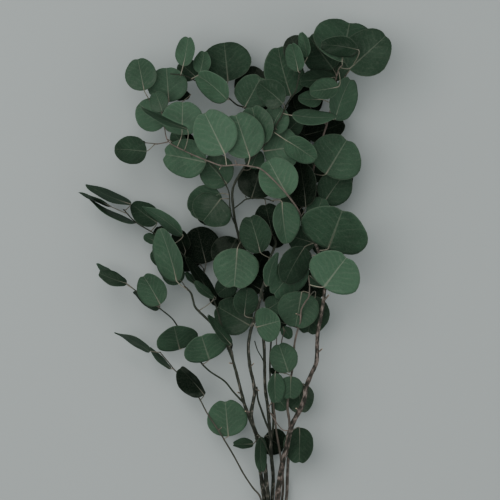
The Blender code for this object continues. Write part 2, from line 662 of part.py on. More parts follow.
def fuse(name, pieces, helpers, material):
    """Join the pieces of one leafy stem into one closed solid."""
    body = pieces[0]
    for piece in pieces[1:]:
        helpers.objects.link(piece)
        bpy.context.scene.collection.objects.unlink(piece)
    join = body.modifiers.new("join", "BOOLEAN")
    join.operation = "UNION"
    join.operand_type = "COLLECTION"
    join.collection = helpers
    join.solver = "MANIFOLD"
    depsgraph = bpy.context.evaluated_depsgraph_get()
    mesh = bpy.data.meshes.new_from_object(body.evaluated_get(depsgraph))
    result = bpy.data.objects.new(name, mesh)
    bpy.context.scene.collection.objects.link(result)
    mesh.materials.clear()
    mesh.materials.append(material)
    for piece in pieces:
        bpy.data.objects.remove(piece, do_unlink=True)
    return result


def build():
    for item in list(bpy.data.objects):
        bpy.data.objects.remove(item, do_unlink=True)
    scene = bpy.context.scene
    helpers = bpy.data.collections.new("pieces_to_join")
    scene.collection.children.link(helpers)
    blades, bends = layout()
    names = sorted({twig.node for twig in TWIGS})
    results = []
    for name in names:
        pieces = []
        for twig in TWIGS:
            if twig.node != name:
                continue
            ends = len(twig.route) - 1
            taper = (twig.girth[1] - twig.girth[0]) / ends
            radii = [(twig.girth[0] + taper * step) / 2.0 for step in range(ends + 1)]
            sides = THICK_SIDES if twig.girth[0] > THICK_GIRTH else THIN_SIDES
            shape = tube([Vector(point) for point in twig.route], radii, sides)
            pieces.append(as_object(shape, "twig", scene.collection))
        for blade, bend in zip(blades, bends):
            if blade.node != name:
                continue
            petiole = curve_to(*bend) + [surface(blade, 0.09 * blade.length, 0.0)]
            radii = [PETIOLE_THICKNESS / 2.0] * (len(petiole) - 2) + [PETIOLE_ROOT / 2.0] * 2
            pieces.append(as_object(blade_shape(blade), "blade", scene.collection))
            pieces.append(as_object(tube(petiole, radii, PETIOLE_SIDES), "petiole", scene.collection))
        material = plain_material(name + "_green", PLAIN_GREEN, 0.6)
        results.append(fuse(name, pieces, helpers, material))
    corners = [vertex.co for item in results for vertex in item.data.vertices]
    low = [min(corner[axis] for corner in corners) for axis in range(3)]
    high = [max(corner[axis] for corner in corners) for axis in range(3)]
    shift = Vector((-(low[0] + high[0]) / 2.0, -(low[1] + high[1]) / 2.0, -low[2]))
    for item in results:
        for vertex in item.data.vertices:
            vertex.co += shift
    bpy.data.collections.remove(helpers)
    return results


build()
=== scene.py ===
"""Dresses the frame of a loose bunch of cut eucalyptus stems and sets a plain studio round it.

The layout is in millimetres, in the plane of the floor and above it, and SHIFT carries it to the frame.
"""
import math
import random
from collections import namedtuple

import bmesh
import bpy
from bpy.props import FloatProperty, FloatVectorProperty, IntProperty, PointerProperty
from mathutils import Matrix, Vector


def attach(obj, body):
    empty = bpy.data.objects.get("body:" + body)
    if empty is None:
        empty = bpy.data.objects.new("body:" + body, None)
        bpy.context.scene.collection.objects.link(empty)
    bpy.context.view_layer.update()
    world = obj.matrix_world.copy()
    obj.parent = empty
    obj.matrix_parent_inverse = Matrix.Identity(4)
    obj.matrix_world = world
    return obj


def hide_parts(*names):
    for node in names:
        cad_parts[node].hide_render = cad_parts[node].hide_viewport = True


bl_info = {
    "name": "Eucalyptus Bunch",
    "version": (1, 0, 0),
    "blender": (4, 5, 0),
    "location": "View3D > Sidebar > Bunch",
    "description": "Leaves, leaf stalks and bark for a laid bunch of cut eucalyptus stems",
    "category": "Add Mesh",
}

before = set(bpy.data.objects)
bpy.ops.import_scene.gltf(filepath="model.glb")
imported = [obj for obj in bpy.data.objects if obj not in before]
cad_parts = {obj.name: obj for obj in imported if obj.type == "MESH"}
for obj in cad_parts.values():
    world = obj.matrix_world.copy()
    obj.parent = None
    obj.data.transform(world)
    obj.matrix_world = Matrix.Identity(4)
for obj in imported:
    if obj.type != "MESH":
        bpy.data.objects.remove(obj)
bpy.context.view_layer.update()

# The rules that place the blades, the same as in the part
SHIFT = Vector((-0.235, -254.863, 0.35))
CLEARANCE = 1.8
LEAF_GAP = 2.6
LOWEST_LEAF = 3.0
BACK_LEAF_COUNT = 24
BACK_LEAF_SIZE = (28.0, 44.0)
BACK_LEAF_SPACING = 26.0
LEAFY_FROM = 190.0
LEAFY_HEIGHT = 20.0
RIM_SPARE = 3.0
TWIG_SPARE = 1.6
ROLL_JITTER = 7
PITCH_JITTER = 6
CUP_DEPTH = 0.035
FOLD_SOFTNESS = 0.06
NOTCH_DEPTH = 0.06
ROUND_BREADTH = 0.9
ROUND_LENGTH = 0.82
PETIOLE_POINTS = 3
PETIOLE_STARTS = 24
BEND_COST = 6.0
TROUBLE_COST = 25.0
SPREAD_SWEEPS = 300
BACK_LEAF_TRIES = 1500
LAYOUT_SEED = 11
METRES = 0.001
MILLIMETRES = 1000.0
HALF = 500.0  # half of a size in metres, in millimetres

# Sizes and proportions of the finer pieces
BLADE_SPOKES = 40
BLADE_RINGS = (0.2, 0.42, 0.62, 0.79, 0.91, 1.0)
NOTCHES = (0.2, 0.6, 1.0, 1.0, 1.3)
FIRST_BLADE_SEED = 500
FIRST_TWIG_SEED = 40
PHASES = (0.0, 6.28)
STALK_POINTS = 9
STALK_SIDES = 6
RIB_START = 0.025
RIB_REACH = 0.62
KNUCKLE_SIDES = 8
THIN_TWIG_SIDES = 8
THICK_TWIG = 3.0
ROUTE_STEPS = 5
CUT_ENDS_BELOW = -40
CUT_SLANT = 0.9
THICK_KNOTS = 0.045
THIN_KNOTS = 0.025
STALK_KNOTS = 0.03
TWIG_PATCH_STEP = 0.31
STALK_PATCH_STEP = 0.137
PHOTO_MIDDLE = (18.0, 300.0, 60.0)

# A leaf: base and tip in plan, breadth seen from above, height of its middle, tone and painted shade, fold
# and turn in degrees
Leaf = namedtuple("Leaf", "base tip breadth height tone fold turn", defaults=(8, 0))
Twig = namedtuple("Twig", "node girth route leaves")
Blade = namedtuple("Blade", "node base along across normal length breadth fold tone steady")

# Tone levels of a leaf: partly its own darker or lighter green, partly painted shade and light; DARK is
# painted as deep in shade, PALE as fully lit
DARK = 0.0
DEEP = 0.25
MID = 0.5
LIGHT = 0.75
PALE = 1.0

TWIGS = [
    # the thick brown stem on the right and what it carries behind the foliage
    Twig("stem_main", (7.4, 3.4), [
        (47, -66, 20), (49, -32, 21), (51, 0, 26), (54, 24, 34), (57, 44, 44), (61, 60, 54),
        (65, 80, 62), (69, 93, 66), (77, 108, 70), (82, 120, 72), (85, 136, 73), (91, 152, 74),
        (97, 166, 75), (98, 184, 75), (99, 203, 74), (103, 222, 72), (106, 240, 68), (107, 256, 64),
        (105, 275, 58), (101, 295, 54), (94, 313, 54)], [
        Leaf((78, 87), (77, 43), 37, 38, DEEP),
        Leaf((76, 140), (80, 103), 34, 36, DEEP),
        Leaf((112, 302), (129, 351), 84, 68, MID),
        Leaf((82, 304), (58, 260), 38, 68, DEEP),
        Leaf((82, 290), (44, 245), 40, 56, LIGHT),
    ]),
    # the long pink twig that crosses in front to the upper left
    Twig("stem_main", (2.5, 1.2), [
        (94, 313, 54), (86, 327, 62), (80, 338, 68), (74, 350, 76), (63, 365, 86), (53, 376, 92),
        (42, 387, 95), (31, 396, 97), (20, 399, 98), (3, 401, 98), (-15, 400, 97), (-30, 405, 95),
        (-45, 411, 92), (-60, 418, 88), (-79, 429, 80), (-84, 446, 74), (-87, 463, 70), (-98, 474, 68),
        (-104, 482, 67)], [
        Leaf((63, 364), (39, 408), 47, 78, PALE, 24),
        Leaf((18, 410), (0, 463), 51, 93, LIGHT),
        Leaf((-12, 414), (-37, 465), 52, 101, PALE),
        Leaf((-34, 405), (-86, 415), 47, 78, LIGHT),
        Leaf((-63, 437), (-62, 478), 50, 86, PALE),
        Leaf((-57, 441), (-112, 466), 10, 106, MID),
        Leaf((-62, 424), (-74, 442), 18, 66, MID),
        Leaf((-54, 420), (-57, 440), 15, 58, DARK),
        Leaf((-84, 449), (-115, 475), 41, 66, LIGHT),
        Leaf((-86, 465), (-95, 489), 22, 76, MID),
        Leaf((-79, 477), (-82, 519), 48, 64, LIGHT),
        Leaf((-108, 490), (-116, 529), 38, 74, MID),
        Leaf((-54, 487), (-71, 482), 11, 54, DARK),
        Leaf((80, 351), (63, 334), 22, 42, DARK),
        Leaf((96, 308), (64, 318), 34, 34, DEEP),
    ]),
    Twig("stem_main", (1.5, 1.4), [(-79, 429, 80), (-88, 427, 76), (-96, 426, 72)], [
        Leaf((-105, 418), (-144, 421), 33, 70, DEEP),
        Leaf((-107, 429), (-138, 429), 10, 62, DARK),
    ]),
    # the hidden twig that carries the upper right
    Twig("stem_main", (3.2, 1.5), [
        (94, 313, 54), (92, 335, 48), (90, 352, 44), (90, 375, 40), (95, 400, 38), (102, 425, 42),
        (110, 450, 46), (117, 480, 54), (121, 505, 66), (124, 516, 76), (128, 520, 80)], [
        Leaf((86, 352), (78, 407), 34, 48, DARK, 8, -40),
        Leaf((97, 378), (99, 345), 25, 24, DARK),
        Leaf((106, 357), (134, 396), 42, 44, DEEP),
        Leaf((109, 391), (135, 434), 64, 64, MID),
        Leaf((84, 437), (133, 453), 33, 30, DARK),
        Leaf((118, 456), (137, 507), 32, 76, LIGHT, 20),
        Leaf((104, 480), (75, 481), 20, 52, LIGHT, 8, 35),
        Leaf((123, 493), (88, 488), 28, 84, MID),
        Leaf((120, 506), (76, 501), 24, 62, DEEP, 8, 35),
        Leaf((94, 462), (81, 500), 36, 36, DARK),
        Leaf((118, 517), (88, 557), 46, 46, DEEP),
        Leaf((127, 522), (138, 575), 82, 62, MID),
        Leaf((146, 539), (101, 545), 25, 98, DEEP),
    ]),
    Twig("stem_main", (1.5, 1.4), [(117, 480, 54), (126, 494, 58), (132, 508, 66)], [
        Leaf((136, 515), (181, 556), 56, 82, DEEP),
    ]),
    # a short twig down to a leaf flat on the floor, painted dark as shade
    Twig("stem_main", (1.8, 1.4), [(105, 275, 58), (104, 279, 30), (102, 280, 3)], [
        Leaf((98, 274), (83, 238), 40, 0, DARK),
    ]),
    # a thin bare twig low on the thick stem
    Twig("stem_main", (1.6, 1.2), [
        (66, 84, 63), (57, 85, 60), (50, 93, 58), (44, 102, 56), (40, 109, 55)], []),
    # the stem behind, up to the top of the bunch
    Twig("stem_back", (4.6, 1.6), [
        (43, -62, 11.3), (44, -30, 10), (45, 0, 12), (46, 25, 16), (44, 50, 24), (42, 80, 32),
        (39.5, 110, 38), (36.5, 132, 42), (35.5, 160, 44), (34.5, 190, 44), (30, 215, 42),
        (22, 240, 40), (14, 270, 40), (8, 300, 44), (4, 318, 50), (0, 335, 56), (-2, 350, 60),
        (-3, 370, 64), (2, 384, 70), (12, 400, 78), (22, 411, 84), (33, 423, 86), (42, 434, 87),
        (50, 450, 88), (56, 460, 87), (60, 470, 84), (66, 480, 82), (72, 488, 84), (75, 500, 86),
        (77, 511, 88), (81, 522, 88)], [
        Leaf((36, 76), (60, 60), 34, 16, DARK),
        Leaf((2, 314), (-18, 278), 44, 26, DARK),
        Leaf((0, 264), (-22, 246), 26, 28, DEEP),
        Leaf((3, 302), (-1, 253), 55, 70, LIGHT),
        Leaf((19, 398), (29, 420), 24, 52, LIGHT),
        Leaf((32, 425), (20, 472), 42, 72, MID),
        Leaf((40, 440), (57, 470), 34, 76, LIGHT),
        Leaf((34, 418), (78, 424), 54, 70, PALE),
        Leaf((61, 431), (97, 407), 27, 96, LIGHT),
        Leaf((60, 440), (79, 457), 24, 60, DEEP),
        Leaf((68, 458), (122, 456), 22, 94, LIGHT),
        Leaf((58, 474), (28, 499), 30, 80, DEEP),
        Leaf((66, 484), (50, 544), 48, 56, MID, 8, 25),
        Leaf((76, 512), (67, 546), 22, 98, LIGHT),
        Leaf((87, 529), (80, 560), 16, 88, LIGHT, 25),
        Leaf((80, 527), (66, 555), 34, 70, DARK),
    ]),
    Twig("stem_back", (1.8, 1.4), [
        (9, 294, 43), (9, 306, 50), (4, 322, 57), (-3, 338, 60), (-6, 352, 62), (-7, 368, 66),
        (-14, 384, 68), (-22, 397, 72), (-28, 402, 76)], [
        Leaf((-9, 379), (-37, 410), 42, 56, MID),
        Leaf((-17, 361), (-40, 331), 50, 72, DEEP),
        Leaf((-18, 368), (-55, 345), 42, 50, MID),
    ]),
    Twig("stem_back", (1.8, 1.4), [
        (-2, 349, 60), (7, 356, 56), (14, 361, 54), (26, 362, 54), (38, 361, 60), (46, 358, 66)], [
        Leaf((20, 362), (33, 406), 46, 40, DARK),
        Leaf((55, 357), (61, 307), 30, 88, LIGHT, 22),
    ]),
    Twig("stem_back", (2.2, 1.4), [
        (33, 423, 86), (30, 440, 62), (22, 458, 54), (12, 470, 52), (2, 474, 54), (-10, 484, 56),
        (-25, 493, 56), (-46, 502, 60), (-60, 508, 70), (-77, 510, 74)], [
        Leaf((12, 471), (32, 508), 44, 64, MID),
        Leaf((10, 482), (28, 520), 36, 34, DARK),
        Leaf((-8, 501), (-13, 549), 62, 54, DEEP),
        Leaf((-8, 480), (-45, 511), 27, 82, PALE),
        Leaf((-41, 511), (-36, 538), 20, 70, LIGHT),
        Leaf((-46, 507), (-67, 525), 27, 48, DEEP),
        Leaf((-61, 519), (-55, 555), 25, 76, LIGHT),
    ]),
    # a short twig down to a leaf flat on the floor, painted dark as shade
    Twig("stem_back", (1.8, 1.4), [(12, 470, 52), (16, 468, 26), (21, 464, 3)], [
        Leaf((27, 468), (48, 499), 42, 0, DARK),
    ]),
    # bare side twigs low on the stem behind
    Twig("stem_back", (2.8, 2.2), [
        (41, 84, 33), (37, 93, 36), (32, 107, 40), (27.5, 121, 43), (26, 136, 46)], []),
    Twig("stem_back", (3.0, 2.2), [
        (43, 66, 28), (46, 90, 30), (45, 110, 34), (43, 135, 36), (42, 160, 36), (43, 185, 36),
        (45, 200, 38)], []),
    Twig("stem_back", (1.6, 1.2), [(35.4, 164, 44), (31.5, 172, 46), (27, 180, 47), (23.5, 191, 47)], []),
    Twig("stem_back", (1.8, 1.4), [
        (46, 29, 17), (45.5, 42, 34), (42, 53, 50), (38, 63, 60), (33, 73, 66), (27, 81, 67)], []),
    # the stem through the middle
    Twig("stem_centre", (5.6, 2.6), [
        (42.3, -60, 16.5), (40, -30, 17), (40, 0, 20), (38, 18, 23), (36, 36, 28), (34, 52, 34),
        (30, 66, 42), (25, 80, 48), (21, 93, 53), (19.5, 106, 57), (22, 120, 60), (23.5, 131, 61),
        (21.5, 145, 61), (18, 160, 62), (16, 182, 62), (18, 200, 62), (21, 211, 64), (26, 226, 66),
        (30, 240, 68), (32, 252, 70), (36, 264, 72), (40, 276, 74), (41, 288, 75), (46, 300, 73),
        (49, 308, 71), (46, 316, 68)], [
        Leaf((18, 209), (-23, 233), 46, 34, DEEP),
        Leaf((11, 222), (15, 256), 30, 52, DEEP),
        Leaf((26, 208), (54, 216), 42, 82, LIGHT),
        Leaf((22, 262), (36, 302), 28, 34, DARK),
        Leaf((35, 238), (62, 253), 30, 38, DARK),
        Leaf((45, 303), (54, 332), 24, 44, DARK),
        Leaf((37, 258), (49, 298), 15, 88, LIGHT),
        Leaf((31, 297), (18, 342), 37, 74, DEEP),
        Leaf((45, 318), (36, 356), 36, 54, DARK),
        Leaf((30, 77), (31, 33), 15, 58, DEEP, 10, -38),
    ]),
    # the stem on the right with the brightest leaf
    Twig("stem_right", (4.2, 1.4), [
        (51.6, -64, 15.7), (56, -30, 12), (62, 0, 14), (63, 25, 18), (64, 45, 24), (66, 62, 30),
        (66, 80, 36), (65, 97, 42), (63, 110, 46), (64, 126, 48), (67, 146, 50), (70, 166, 52),
        (71, 185, 56), (74, 201, 60), (78, 214, 64), (79, 228, 68), (84, 238, 72), (88, 244, 74),
        (89, 256, 76), (88, 267, 76)], [
        Leaf((106, 256), (135, 295), 65, 90, PALE),
        Leaf((90, 269), (103, 257), 16, 56, DEEP),
        Leaf((64, 154), (52, 189), 34, 68, MID),
        Leaf((80, 250), (72, 206), 50, 56, MID),
        Leaf((96, 245), (87, 198), 40, 42, DEEP),
    ]),
    # the small leafy stem among the bare ones
    Twig("stem_small", (3.4, 1.2), [
        (51, -58, 6), (53.6, -30, 8.5), (57, 0, 8), (58, 20, 12), (55, 50, 22), (50, 80, 32),
        (48, 100, 38), (46, 118, 44), (47, 140, 50), (51, 158, 54), (55, 176, 58), (56, 192, 60),
        (60, 205, 60)], [
        Leaf((50, 124), (62, 108), 22, 34, MID),
        Leaf((47, 153), (48, 117), 20, 68, LIGHT, 20),
        Leaf((67, 149), (66, 121), 29, 66, MID),
        Leaf((52, 150), (41, 158), 8, 56, DARK),
        Leaf((58, 208), (67, 194), 14, 48, LIGHT),
    ]),
    Twig("stem_small", (1.5, 1.2), [(54, 173, 57), (50, 184, 58), (50, 200, 58)], []),
    # the stem on the left with its three sprays
    Twig("stem_left", (5.6, 2.2), [
        (38.1, -62, 13.4), (36, -30, 11), (35, 0, 14), (33, 15, 18), (31, 30, 22), (29, 46, 28),
        (28, 60, 34), (26, 76, 40), (21, 90, 46), (16, 103, 50), (11, 116, 52), (8, 128, 54),
        (5, 140, 55), (2, 152, 56), (-2, 166, 57), (-5, 180, 58), (-12, 194, 59), (-22, 206, 60),
        (-36, 220, 60), (-47, 231, 60), (-50, 240, 60), (-53, 249, 60), (-60, 256, 60)], [
        Leaf((22, 67), (-3, 67), 12, 48, DEEP, 8, 50),
        Leaf((-4, 178), (-13, 201), 10, 42, DARK),
        Leaf((-5, 186), (-34, 223), 11, 68, DEEP, 8, 50),
        Leaf((-64, 262), (-86, 282), 27, 46, MID),
        Leaf((-68, 263), (-88, 327), 34, 64, LIGHT, 16),
    ]),
    Twig("stem_left", (2.4, 1.4), [
        (11, 116, 52), (-2, 130, 48), (-13, 143, 44), (-30, 154, 40), (-42, 166, 36), (-55, 185, 32),
        (-69, 208, 34), (-76, 218, 38), (-88, 228, 42), (-103, 240, 44), (-123, 254, 44)], [
        Leaf((-31, 169), (-41, 201), 54, 55, LIGHT),
        Leaf((-67, 182), (-73, 209), 51, 44, MID),
        Leaf((-89, 235), (-110, 271), 34, 56, MID),
        Leaf((-90, 231), (-122, 251), 17, 38, DEEP),
        Leaf((-130, 259), (-164, 272), 17, 48, DEEP),
        Leaf((-146, 270), (-167, 284), 9, 36, MID),
    ]),
    Twig("stem_left", (2.4, 1.4), [
        (-2, 166, 57), (-9, 184, 50), (-16, 208, 44), (-24, 236, 40), (-35, 257, 38), (-50, 279, 38),
        (-63, 295, 38), (-80, 309, 38), (-97, 320, 40), (-120, 334, 42), (-134, 349, 44)], [
        Leaf((-26, 242), (-49, 262), 11, 66, DEEP, 8, 40),
        Leaf((-24, 241), (-60, 291), 14, 54, DARK, 8, 55),
        Leaf((-35, 284), (-46, 328), 46, 20, DARK),
        Leaf((-47, 259), (-60, 273), 8, 46, LIGHT),
        Leaf((-75, 285), (-101, 299), 26, 34, DEEP),
        Leaf((-59, 299), (-70, 325), 22, 36, DARK),
        Leaf((-86, 306), (-92, 329), 18, 28, DARK),
        Leaf((-95, 310), (-110, 317), 12, 34, MID),
        Leaf((-61, 320), (-110, 354), 18, 60, PALE),
        Leaf((-94, 332), (-125, 355), 27, 36, DEEP),
        Leaf((-125, 353), (-180, 377), 14, 50, DEEP),
        Leaf((-148, 353), (-188, 370), 6, 44, DEEP),
        Leaf((-121, 330), (-176, 358), 8, 40, MID),
    ]),
    # a short twig down to a leaf flat on the floor, painted dark as shade
    Twig("stem_left", (1.8, 1.4), [(-35, 257, 38), (-37, 266, 20), (-38, 277, 3)], [
        Leaf((-43, 283), (-71, 303), 40, 0, DARK),
    ]),
    Twig("stem_left", (1.8, 1.4), [(36, -12, 12.1), (38.5, 8, 11), (39, 25, 13), (38, 42, 16)], []),
    # the thin twig at the lower left
    Twig("twig_low", (2.4, 1.4), [
        (34.7, -56, 16), (32, -30, 19), (31, 0, 23), (21, 14, 26), (10, 31, 32), (0, 50, 38),
        (-11, 69, 44), (-20, 84, 48), (-30, 99, 48), (-35, 107, 46), (-43, 122, 40), (-56, 140, 34),
        (-72, 155, 34), (-80, 165, 36), (-90, 177, 38)], [
        Leaf((-8, 76), (-12, 121), 49, 40, LIGHT),
        Leaf((-36, 127), (-66, 160), 24, 48, DARK, 35),
        Leaf((-78, 156), (-104, 182), 8, 36, MID),
        Leaf((-101, 180), (-144, 203), 12, 40, DEEP),
    ]),
    # short side twigs behind, each with a leaf that closes a gap between the leaves in front; most of these
    # leaves are painted dark as shade
    Twig("stem_centre", (1.6, 1.3), [(30, 240, 68), (33, 244, 56), (35, 248, 46)], [
        Leaf((32, 252), (12, 264), 26, 42, DARK),
    ]),
    Twig("stem_centre", (1.6, 1.3), [(26, 226, 66), (31, 225, 56), (34, 226, 50)], [
        Leaf((38, 228), (56, 240), 24, 46, MID),
    ]),
    Twig("stem_right", (1.6, 1.3), [(76, 207, 62), (71, 208, 50), (67, 210, 40)], [
        Leaf((62, 211), (42, 217), 24, 36, DARK),
    ]),
    Twig("stem_left", (1.6, 1.3), [(-24, 236, 40), (-27, 243, 32), (-28, 248, 26)], [
        Leaf((-26, 252), (-10, 234), 26, 22, DARK),
    ]),
    Twig("stem_main", (1.6, 1.3), [(110, 450, 46), (104, 456, 38), (98, 462, 32)], [
        Leaf((92, 466), (62, 474), 28, 28, DARK),
    ]),
    Twig("stem_main", (1.6, 1.3), [(102, 425, 42), (99, 428, 34), (97, 431, 30)], [
        Leaf((92, 433), (70, 448), 28, 26, DARK),
    ]),
]


def unit(vector):
    return vector / vector.length


def nearest_height(point, threads):
    """Height of the twig point that is nearest in plan."""
    spots = [spot for group in threads for spot, _ in group]
    near = min(spots, key=lambda spot: math.hypot(spot.x - point.x, spot.y - point.y))
    return near.z


def lay_blade(node, leaf, draw, threads):
    """Place one blade in space from its base, its tip and the breadth seen from above."""
    steady = leaf.height == 0
    base = Vector((leaf.base[0], leaf.base[1], 0.0))
    tip = Vector((leaf.tip[0], leaf.tip[1], 0.0))
    seen = (tip - base).length
    ahead = unit(tip - base)
    aside = Vector((-ahead.y, ahead.x, 0.0))
    breadth = max(leaf.breadth, ROUND_BREADTH * seen)
    length = max(seen, ROUND_LENGTH * leaf.breadth)
    share = leaf.breadth / breadth
    fold = leaf.fold * share
    roll = draw.choice((-1, 1)) * math.acos(share)
    roll += math.radians(draw.uniform(-ROLL_JITTER, ROLL_JITTER)) * share
    pitch = math.acos(seen / length)
    if nearest_height(base, threads) > leaf.height:
        pitch = -pitch
    pitch += math.radians(draw.uniform(-PITCH_JITTER, PITCH_JITTER))
    if leaf.turn:
        roll = math.radians(leaf.turn)
        breadth = leaf.breadth / math.cos(roll)
        fold = leaf.fold
    if steady:
        roll = 0.0
        pitch = 0.0
        fold = 0.0
    up = Vector((0.0, 0.0, 1.0))
    along = ahead * math.cos(pitch) + up * math.sin(pitch)
    across = aside * math.cos(roll) + up * math.sin(roll)
    across = unit(across - along * across.dot(along))
    normal = along.cross(across)
    middle = (base + tip) / 2.0
    middle.z = leaf.height
    start = middle - along * (length / 2.0)
    return Blade(node, start, along, across, normal, length, breadth, math.radians(fold), leaf.tone, steady)


def outline(blade, count):
    """Points round a blade in its own plane: how far along it, how far across it."""
    points = []
    for step in range(count):
        angle = 2.0 * math.pi * step / count
        along = 0.5 - 0.5 * math.cos(angle)
        across = 0.5 * math.sin(angle) * (1.0 + 0.10 * math.cos(angle))
        along -= NOTCH_DEPTH * math.exp(-((angle - math.pi) / 0.25) ** 2)
        points.append((along * blade.length, across * blade.breadth))
    return points


def surface(blade, along, across):
    """A point of the blade's middle surface, softly folded along the midrib and slightly cupped."""
    side = abs(across) / (0.5 * blade.breadth)
    far = 2.0 * along / blade.length - 1.0
    soft = FOLD_SOFTNESS * blade.breadth
    lift = (math.hypot(across, soft) - soft) * math.tan(blade.fold)
    lift += 0.0 if blade.steady else CUP_DEPTH * blade.length * (far * far - 0.3 * side * side)
    return blade.base + blade.along * along + blade.across * across + blade.normal * lift


def height_at(blade, x, y):
    """Height of the blade over a point of the floor, or None where the blade is not over it."""
    right = x - blade.base.x
    ahead = y - blade.base.y
    spread = blade.along.x * blade.across.y - blade.along.y * blade.across.x
    along = (right * blade.across.y - ahead * blade.across.x) / spread
    across = (blade.along.x * ahead - blade.along.y * right) / spread
    far = (2.0 * along - blade.length) / (blade.length + RIM_SPARE)
    if math.hypot(far, 2.0 * across / (blade.breadth + RIM_SPARE)) > 1.0:
        return None
    return surface(blade, along, across).z


def fill_points(blade):
    """Points spread over the blade, as plan positions: the middle first, the rim last."""
    middle = blade.length / 2.0
    found = [surface(blade, middle, 0.0)]
    for ring, count in ((0.25, 8), (0.5, 12), (0.75, 16), (1.0, 20)):
        for along, across in outline(blade, count):
            found.append(surface(blade, middle + (along - middle) * ring, across * ring))
    return [(place.x, place.y) for place in found]


def thread(twig, spacing=2.5):
    """Points along a twig, each with its radius there."""
    route = [Vector(point) for point in twig.route]
    spans = [(b - a).length for a, b in zip(route, route[1:])]
    total = sum(spans)
    done = 0.0
    points = []
    for start, end, span in zip(route, route[1:], spans):
        steps = max(1, round(span / spacing))
        for step in range(steps):
            part = step / steps
            girth = twig.girth[0] + (twig.girth[1] - twig.girth[0]) * (done + span * part) / total
            points.append((start.lerp(end, part), girth / 2.0))
        done += span
    points.append((route[-1], twig.girth[1] / 2.0))
    return points


def apart(one, other):
    """Whether two blades are too far apart in plan to lie over each other."""
    reach = one.length + one.breadth + other.length + other.breadth
    return math.hypot(one.base.x - other.base.x, one.base.y - other.base.y) > 0.75 * reach


def blade_limits(blades):
    """For each pair of blades that overlap in plan: the lower, the higher and the least gap."""
    middles = [surface(blade, blade.length / 2.0, 0.0).z for blade in blades]
    order = sorted(range(len(blades)), key=lambda index: (not blades[index].steady, middles[index]))
    spots = [fill_points(blade) for blade in blades]
    limits = []
    for rank, low in enumerate(order):
        for high in order[rank + 1:]:
            if apart(blades[low], blades[high]):
                continue
            gaps = []
            for x, y in spots[low] + spots[high]:
                under = height_at(blades[low], x, y)
                over = height_at(blades[high], x, y)
                if under is not None and over is not None:
                    gaps.append(over - under)
            if gaps:
                limits.append((low, high, min(gaps)))
    return limits


def twig_limits(blade, threads):
    """How far the blade may sink or rise before it meets the floor or a twig."""
    floor = LOWEST_LEAF - min(surface(blade, along, across).z for along, across in outline(blade, 16))
    roof = 1000.0
    for points in threads:
        crossing = []
        for place, radius in points:
            over = height_at(blade, place.x, place.y)
            if over is not None:
                crossing.append((over - place.z, radius + CLEARANCE))
        if not crossing:
            continue
        if sum(gap for gap, _ in crossing) >= 0.0:
            floor = max(floor, max(spare - gap for gap, spare in crossing))
        else:
            roof = min(roof, min(-spare - gap for gap, spare in crossing))
    return floor, roof


def spread_heights(blades, threads):
    """Move blades up or down until every one passes clear of the blades and twigs over and under it."""
    limits = blade_limits(blades)
    bounds = [(0.0, 0.0) if blade.steady else twig_limits(blade, threads) for blade in blades]
    rise = [0.0] * len(blades)
    for _ in range(SPREAD_SWEEPS):
        moved = 0.0
        for low, high, gap in limits:
            short = LEAF_GAP - (gap + rise[high] - rise[low])
            if short <= 0.001:
                continue
            moved = max(moved, short)
            share = 0.0 if blades[low].steady else 0.5
            rise[high] += short * (1.0 - share)
            rise[low] -= short * share
        for index, (floor, roof) in enumerate(bounds):
            wanted = max(min(rise[index], roof), floor)
            moved = max(moved, abs(wanted - rise[index]))
            rise[index] = wanted
        if moved < 0.02:
            break
    return [blade._replace(base=blade.base + Vector((0.0, 0.0, up))) for blade, up in zip(blades, rise)]


def curve_to(start, knee, end, count=PETIOLE_POINTS):
    """Points of a curve from the twig to the leaf base by way of a knee."""
    points = []
    for step in range(count):
        part = step / (count - 1)
        points.append(start * (1 - part) ** 2 + knee * (2 * part * (1 - part)) + end * part ** 2)
    return points


def path_trouble(points, near_blades, near_spots, taken):
    """How badly a petiole would cut into blades, twigs and other petioles."""
    trouble = 0.0
    for first, second in zip(points, points[1:]):
        for part in (0.25, 0.5, 0.75, 1.0):
            place = first.lerp(second, part)
            trouble += max(0.0, 0.3 - place.z)
            for blade in near_blades:
                over = height_at(blade, place.x, place.y)
                if over is not None:
                    trouble += max(0.0, CLEARANCE - abs(over - place.z))
            for spot, radius in near_spots:
                trouble += max(0.0, TWIG_SPARE + radius - (spot - place).length)
    for spot in taken:
        for place in points:
            trouble += max(0.0, CLEARANCE - (spot - place).length)
    return trouble


def route_petiole(own, blades, threads, nodes, taken):
    """The shortest clear way from a twig of the same stem to the blade's base: start, knee and end."""
    blade = blades[own]
    root = surface(blade, RIB_START * blade.length, 0.0)
    heading = unit(Vector((blade.along.x, blade.along.y, blade.along.z * 0.5)))
    near_blades = [other for index, other in enumerate(blades) if index != own and not apart(blade, other)]
    options = []
    for number, (group, node) in enumerate(zip(threads, nodes)):
        if node == blade.node:
            options += [((place - root).length, number, place) for place, _ in group[::2]]
    options.sort(key=lambda option: option[0])
    best = None
    for distance, number, place in options[:PETIOLE_STARTS]:
        others = [group for index, group in enumerate(threads) if index != number]
        spots = [(spot, radius) for group in others for spot, radius in group
                 if (spot - root).length < distance + 12.0]
        near_taken = [spot for spot in taken if (spot - root).length < distance + 12.0]
        for reach in (0.45, 0.2, 0.7):
            for lift in (0.0, -6.0, 6.0, 12.0, -12.0):
                knee = root - heading * (distance * reach) + Vector((0.0, 0.0, lift))
                points = curve_to(place, knee, root)
                score = distance + abs(lift) * 0.6 + reach * 3.0
                score += BEND_COST * (1.0 - unit(root - place).dot(heading))
                score += path_trouble(points, near_blades, spots, near_taken) * TROUBLE_COST
                if best is None or score < best[0]:
                    best = (score, place, knee)
        if best[0] < distance + 8.0:
            break
    return best[1], best[2], root


